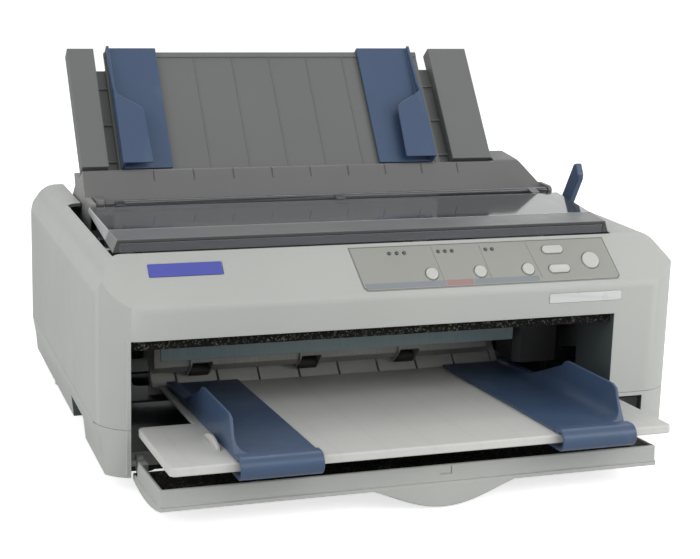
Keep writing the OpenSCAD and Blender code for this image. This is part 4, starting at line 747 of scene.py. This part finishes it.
def make_panel_trim():
    """Plain lines, fields and lamps of the control panel. The line round the panel's edge is dark, painted
    shade of the recess there.
    """
    under = FILM_TOP - PRINT_DEPTH
    # Dark outline round the panel: painted shade of its recessed edge
    line = narrow_frame(PANEL_EDGE, PANEL_LINE, under, FILM_TOP + LINE_RISE)
    settle("panel_line", line, SLOPE, "printer", "grey", "line")
    for i, (left, right, kind) in enumerate(FIELDS):
        outline = soft_outline(left, FIELD_BOTTOM, right, FIELD_TOP, FIELD_RADIUS)
        field = prism(outline, under, FILM_TOP + FIELD_RISE)
        settle(f"panel_field_{i + 1}", field, SLOPE, "printer", "grey", kind)
    for i, x in enumerate(LAMPS_X):
        lamp = turned(LAMP_PROFILE, (x, LAMP_Y))
        settle(f"panel_lamp_{i + 1}", lamp, SLOPE, "printer", "grey", "lamp", smooth=True)


# Ridge across the printer cover, coloured pale as a painted highlight. The lid's front and rear are given
# as (Y, Z)

LID_FRONT = (26.8, 160.7)
LID_REAR = (166.0, 155.6)
RIDGE_Y = 65.8
RIDGE_LEFT = -188.6
RIDGE_RIGHT = 163.9
RIDGE_HALF = 0.5
RIDGE_RADIUS = 0.3
RIDGE_BACK = -0.2
RIDGE_FACE = 0.22


def make_cover_ridge():
    """Fine raised line across the printer cover, where its dark bar meets the window. Its pale colour is a
    painted highlight.
    """
    fall = math.degrees(math.atan((LID_FRONT[1] - LID_REAR[1]) / (LID_REAR[0] - LID_FRONT[0])))
    lid = tilted(LID_FRONT[0], LID_FRONT[1], -fall)
    along = (RIDGE_Y - LID_FRONT[0]) / math.cos(math.radians(fall))
    outline = soft_outline(RIDGE_LEFT, along - RIDGE_HALF, RIDGE_RIGHT, along + RIDGE_HALF, RIDGE_RADIUS)
    strip = prism(outline, RIDGE_BACK, RIDGE_FACE)
    settle("cover_ridge", strip, lid, "top_cover", "smoke", "ridge", edge=0.1)


# Returns inside the case, drawn as (Y, Z) and reaching from left to right

SKIRT_SIDE = ((168.2, 138), (168.2, 157.4), (192, 158), (203.5, 141), (205, 130), (172, 130))
SKIRT_FRONT = (168.2, 126, 170.2, 148.5)
SKIRT_START = 0.2
SKIRT_SIDE_END = 4.2
SKIRT_FRONT_END = 17
STEP_SIDE = (27.0, 5.0, 28.2, 12.0)
STEP_LEFT = -185
STEP_RIGHT = -140
RETURN_RADIUS = 0.3


def make_hood_skirt():
    """Inner return of the hood's left cheek, which shuts the view through the case beside the cover."""
    left = (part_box("separator_hood")[0].x - ORIGIN.x) / MM
    side = prism(SKIRT_SIDE, left + SKIRT_START, left + SKIRT_SIDE_END)
    settle("hood_skirt_side", side, SIDEWAYS, "printer", "hood", "cheek", edge=0.2)
    front = prism(soft_outline(*SKIRT_FRONT, RETURN_RADIUS), left + SKIRT_START, left + SKIRT_FRONT_END)
    settle("hood_skirt_front", front, SIDEWAYS, "printer", "hood", "cheek", edge=0.2)


def make_mouth_step():
    """Upstand inside the left corner of the mouth, behind the hinge of the front cover, painted near black
    as shade.
    """
    step = prism(soft_outline(*STEP_SIDE, RETURN_RADIUS), STEP_LEFT, STEP_RIGHT)
    settle("mouth_step", step, SIDEWAYS, "printer", "case", "deep", edge=0.2)


# Painted shadow of the groove of the front cover, in the cover's own frame

# How far it reaches past each end of the foam
GROOVE_PAST_FOAM = 2.1
GROOVE_Y = (-81.98, -81.7)
GROOVE_Z = (-6.25, -5.75)


def make_cover_groove():
    """Dark strip along the foot of the front cover's rim, a painted shadow of its groove."""
    foam_low, foam_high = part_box("front_cover_foam")
    left = (foam_low.x - ORIGIN.x) / MM - GROOVE_PAST_FOAM
    right = (foam_high.x - ORIGIN.x) / MM + GROOVE_PAST_FOAM
    front, back = GROOVE_Y
    groove = prism(((left, front), (right, front), (right, back), (left, back)), *GROOVE_Z)
    settle("front_cover_groove", groove, COVER, "front_door", "case", "line")


# Foam sheets

# Size of the cells, depth of the torn surface, and waves of its noise per millimetre
FOAM_STEP = 2.5
FOAM_ROUGH = 0.35
FOAM_WAVES = 0.45


def box_grid(low, high, step):
    """A closed box cut into cells of about one step."""
    work = bmesh.new()
    bmesh.ops.create_cube(work, size=1)
    for vert in work.verts:
        for k in range(3):
            vert.co[k] = low[k] + (vert.co[k] + 0.5) * (high[k] - low[k])
    for axis in range(3):
        normal = Vector([1.0 if k == axis else 0.0 for k in range(3)])
        count = max(1, round((high[axis] - low[axis]) / step))
        for i in range(1, count):
            spot = Vector(low) + normal * (high[axis] - low[axis]) * i / count
            geometry = work.verts[:] + work.edges[:] + work.faces[:]
            bmesh.ops.bisect_plane(work, geom=geometry, plane_co=spot, plane_no=normal)
    work.normal_update()
    return work


def make_foam(node, place):
    """Foam sheet with an uneven torn surface, in the space of its CAD solid."""
    back = place.inverted()
    points = [back @ v.co for v in nodes[node].data.vertices]
    low = [min(p[k] for p in points) for k in range(3)]
    high = [max(p[k] for p in points) for k in range(3)]
    work = box_grid(low, high, FOAM_STEP)
    moves = []
    for vert in work.verts:
        deep = 0.5 + 0.5 * noise.noise(vert.co * FOAM_WAVES)
        moves.append((vert, vert.normal * (-FOAM_ROUGH * deep)))
    for vert, move in moves:
        vert.co += move
    piece = settle("torn_" + node, work, place, nodes[node]["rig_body"], SLOT_OF[node], smooth=True)
    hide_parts(node)


# Studio: metres, watts

FLOOR_HALF = 6.0
FLOOR_DROP = 0.0002
FLOOR_COLOUR = (0.86, 0.86, 0.86, 1)
FLOOR_LIFT = 0.70
SKY_COLOUR = (0.97, 0.98, 1, 1)
SKY_STRENGTH = 0.38
# Name, place, aim, size and power
LIGHTS = (
    ("key_from_front", (0.5, -1.7, 1.5), (0, 0, 0.08), (1.6, 1.2), 11),
    ("side_from_right", (1.1, -0.9, 0.6), (0.1, -0.1, 0.08), (0.8, 0.8), 7.5),
    ("fill_from_left", (-1.7, -0.5, 0.9), (0, 0, 0.08), (1.6, 1.4), 12.5),
    ("top_from_behind", (0.2, 1.2, 1.8), (0, 0.1, 0.1), (2.0, 1.2), 10),
)


def send(tree, factor, usual, seen, target):
    """Joins usual to the target, and seen instead where the factor is one."""
    choose = add(tree, "ShaderNodeMixShader")
    tree.links.new(factor, choose.inputs["Fac"])
    tree.links.new(usual, choose.inputs[1])
    tree.links.new(seen, choose.inputs[2])
    tree.links.new(choose.outputs["Shader"], target)


def studio_white():
    """Matt white that looks nearly white to the camera and lights the scene as a plain surface."""
    material = bpy.data.materials.new("studio_white")
    material.use_nodes = True
    tree = material.node_tree
    tree.nodes.clear()
    out = add(tree, "ShaderNodeOutputMaterial")
    plain = add(tree, "ShaderNodeBsdfDiffuse", Color=FLOOR_COLOUR)
    lift = add(tree, "ShaderNodeEmission", Color=WHITE, Strength=FLOOR_LIFT)
    both = add(tree, "ShaderNodeAddShader")
    path = add(tree, "ShaderNodeLightPath")
    tree.links.new(plain.outputs["BSDF"], both.inputs[0])
    tree.links.new(lift.outputs["Emission"], both.inputs[1])
    seen = path.outputs["Is Camera Ray"]
    send(tree, seen, plain.outputs["BSDF"], both.outputs["Shader"], out.inputs["Surface"])
    return material


def make_floor():
    """Square floor, a hair under the feet so that nothing lies in its plane."""
    mesh = bpy.data.meshes.new("floor")
    corners = [(x * FLOOR_HALF, y * FLOOR_HALF, 0) for x, y in ((-1, -1), (1, -1), (1, 1), (-1, 1))]
    mesh.from_pydata(corners, [], [(0, 1, 2, 3)])
    floor = bpy.data.objects.new("floor", mesh)
    bpy.context.scene.collection.objects.link(floor)
    floor.location.z = -FLOOR_DROP
    mesh.materials.append(studio_white())


def make_world():
    """White to the camera and in reflections, and a dimmer soft sky for all other light."""
    world = bpy.data.worlds.new("studio")
    bpy.context.scene.world = world
    world.use_nodes = True
    tree = world.node_tree
    tree.nodes.clear()
    out = add(tree, "ShaderNodeOutputWorld")
    seen = add(tree, "ShaderNodeBackground", Color=WHITE, Strength=1.0)
    soft = add(tree, "ShaderNodeBackground", Color=SKY_COLOUR, Strength=SKY_STRENGTH)
    path = add(tree, "ShaderNodeLightPath")
    either = add(tree, "ShaderNodeMath", operation="MAXIMUM")
    tree.links.new(path.outputs["Is Camera Ray"], either.inputs[0])
    tree.links.new(path.outputs["Is Glossy Ray"], either.inputs[1])
    target = out.inputs["Surface"]
    send(tree, either.outputs[0], soft.outputs["Background"], seen.outputs["Background"], target)


def area_light(name, spot, aim, size, power):
    """Soft rectangular lamp that looks from its spot at its aim."""
    data = bpy.data.lights.new(name, "AREA")
    data.shape = "RECTANGLE"
    data.size = size[0]
    data.size_y = size[1]
    data.energy = power
    light = bpy.data.objects.new(name, data)
    bpy.context.scene.collection.objects.link(light)
    light.location = spot
    light.rotation_euler = (Vector(aim) - Vector(spot)).to_track_quat("-Z", "Y").to_euler()


make_camera()
refine_nodes()
make_plates()
make_panel_trim()
make_cover_groove()
make_cover_ridge()
make_hood_skirt()
make_mouth_step()
for foam_node, foam_frame in FOAM_SHEETS.items():
    make_foam(foam_node, foam_frame)
make_floor()
make_world()
for light_row in LIGHTS:
    area_light(*light_row)
bpy.context.scene.view_settings.view_transform = "Standard"
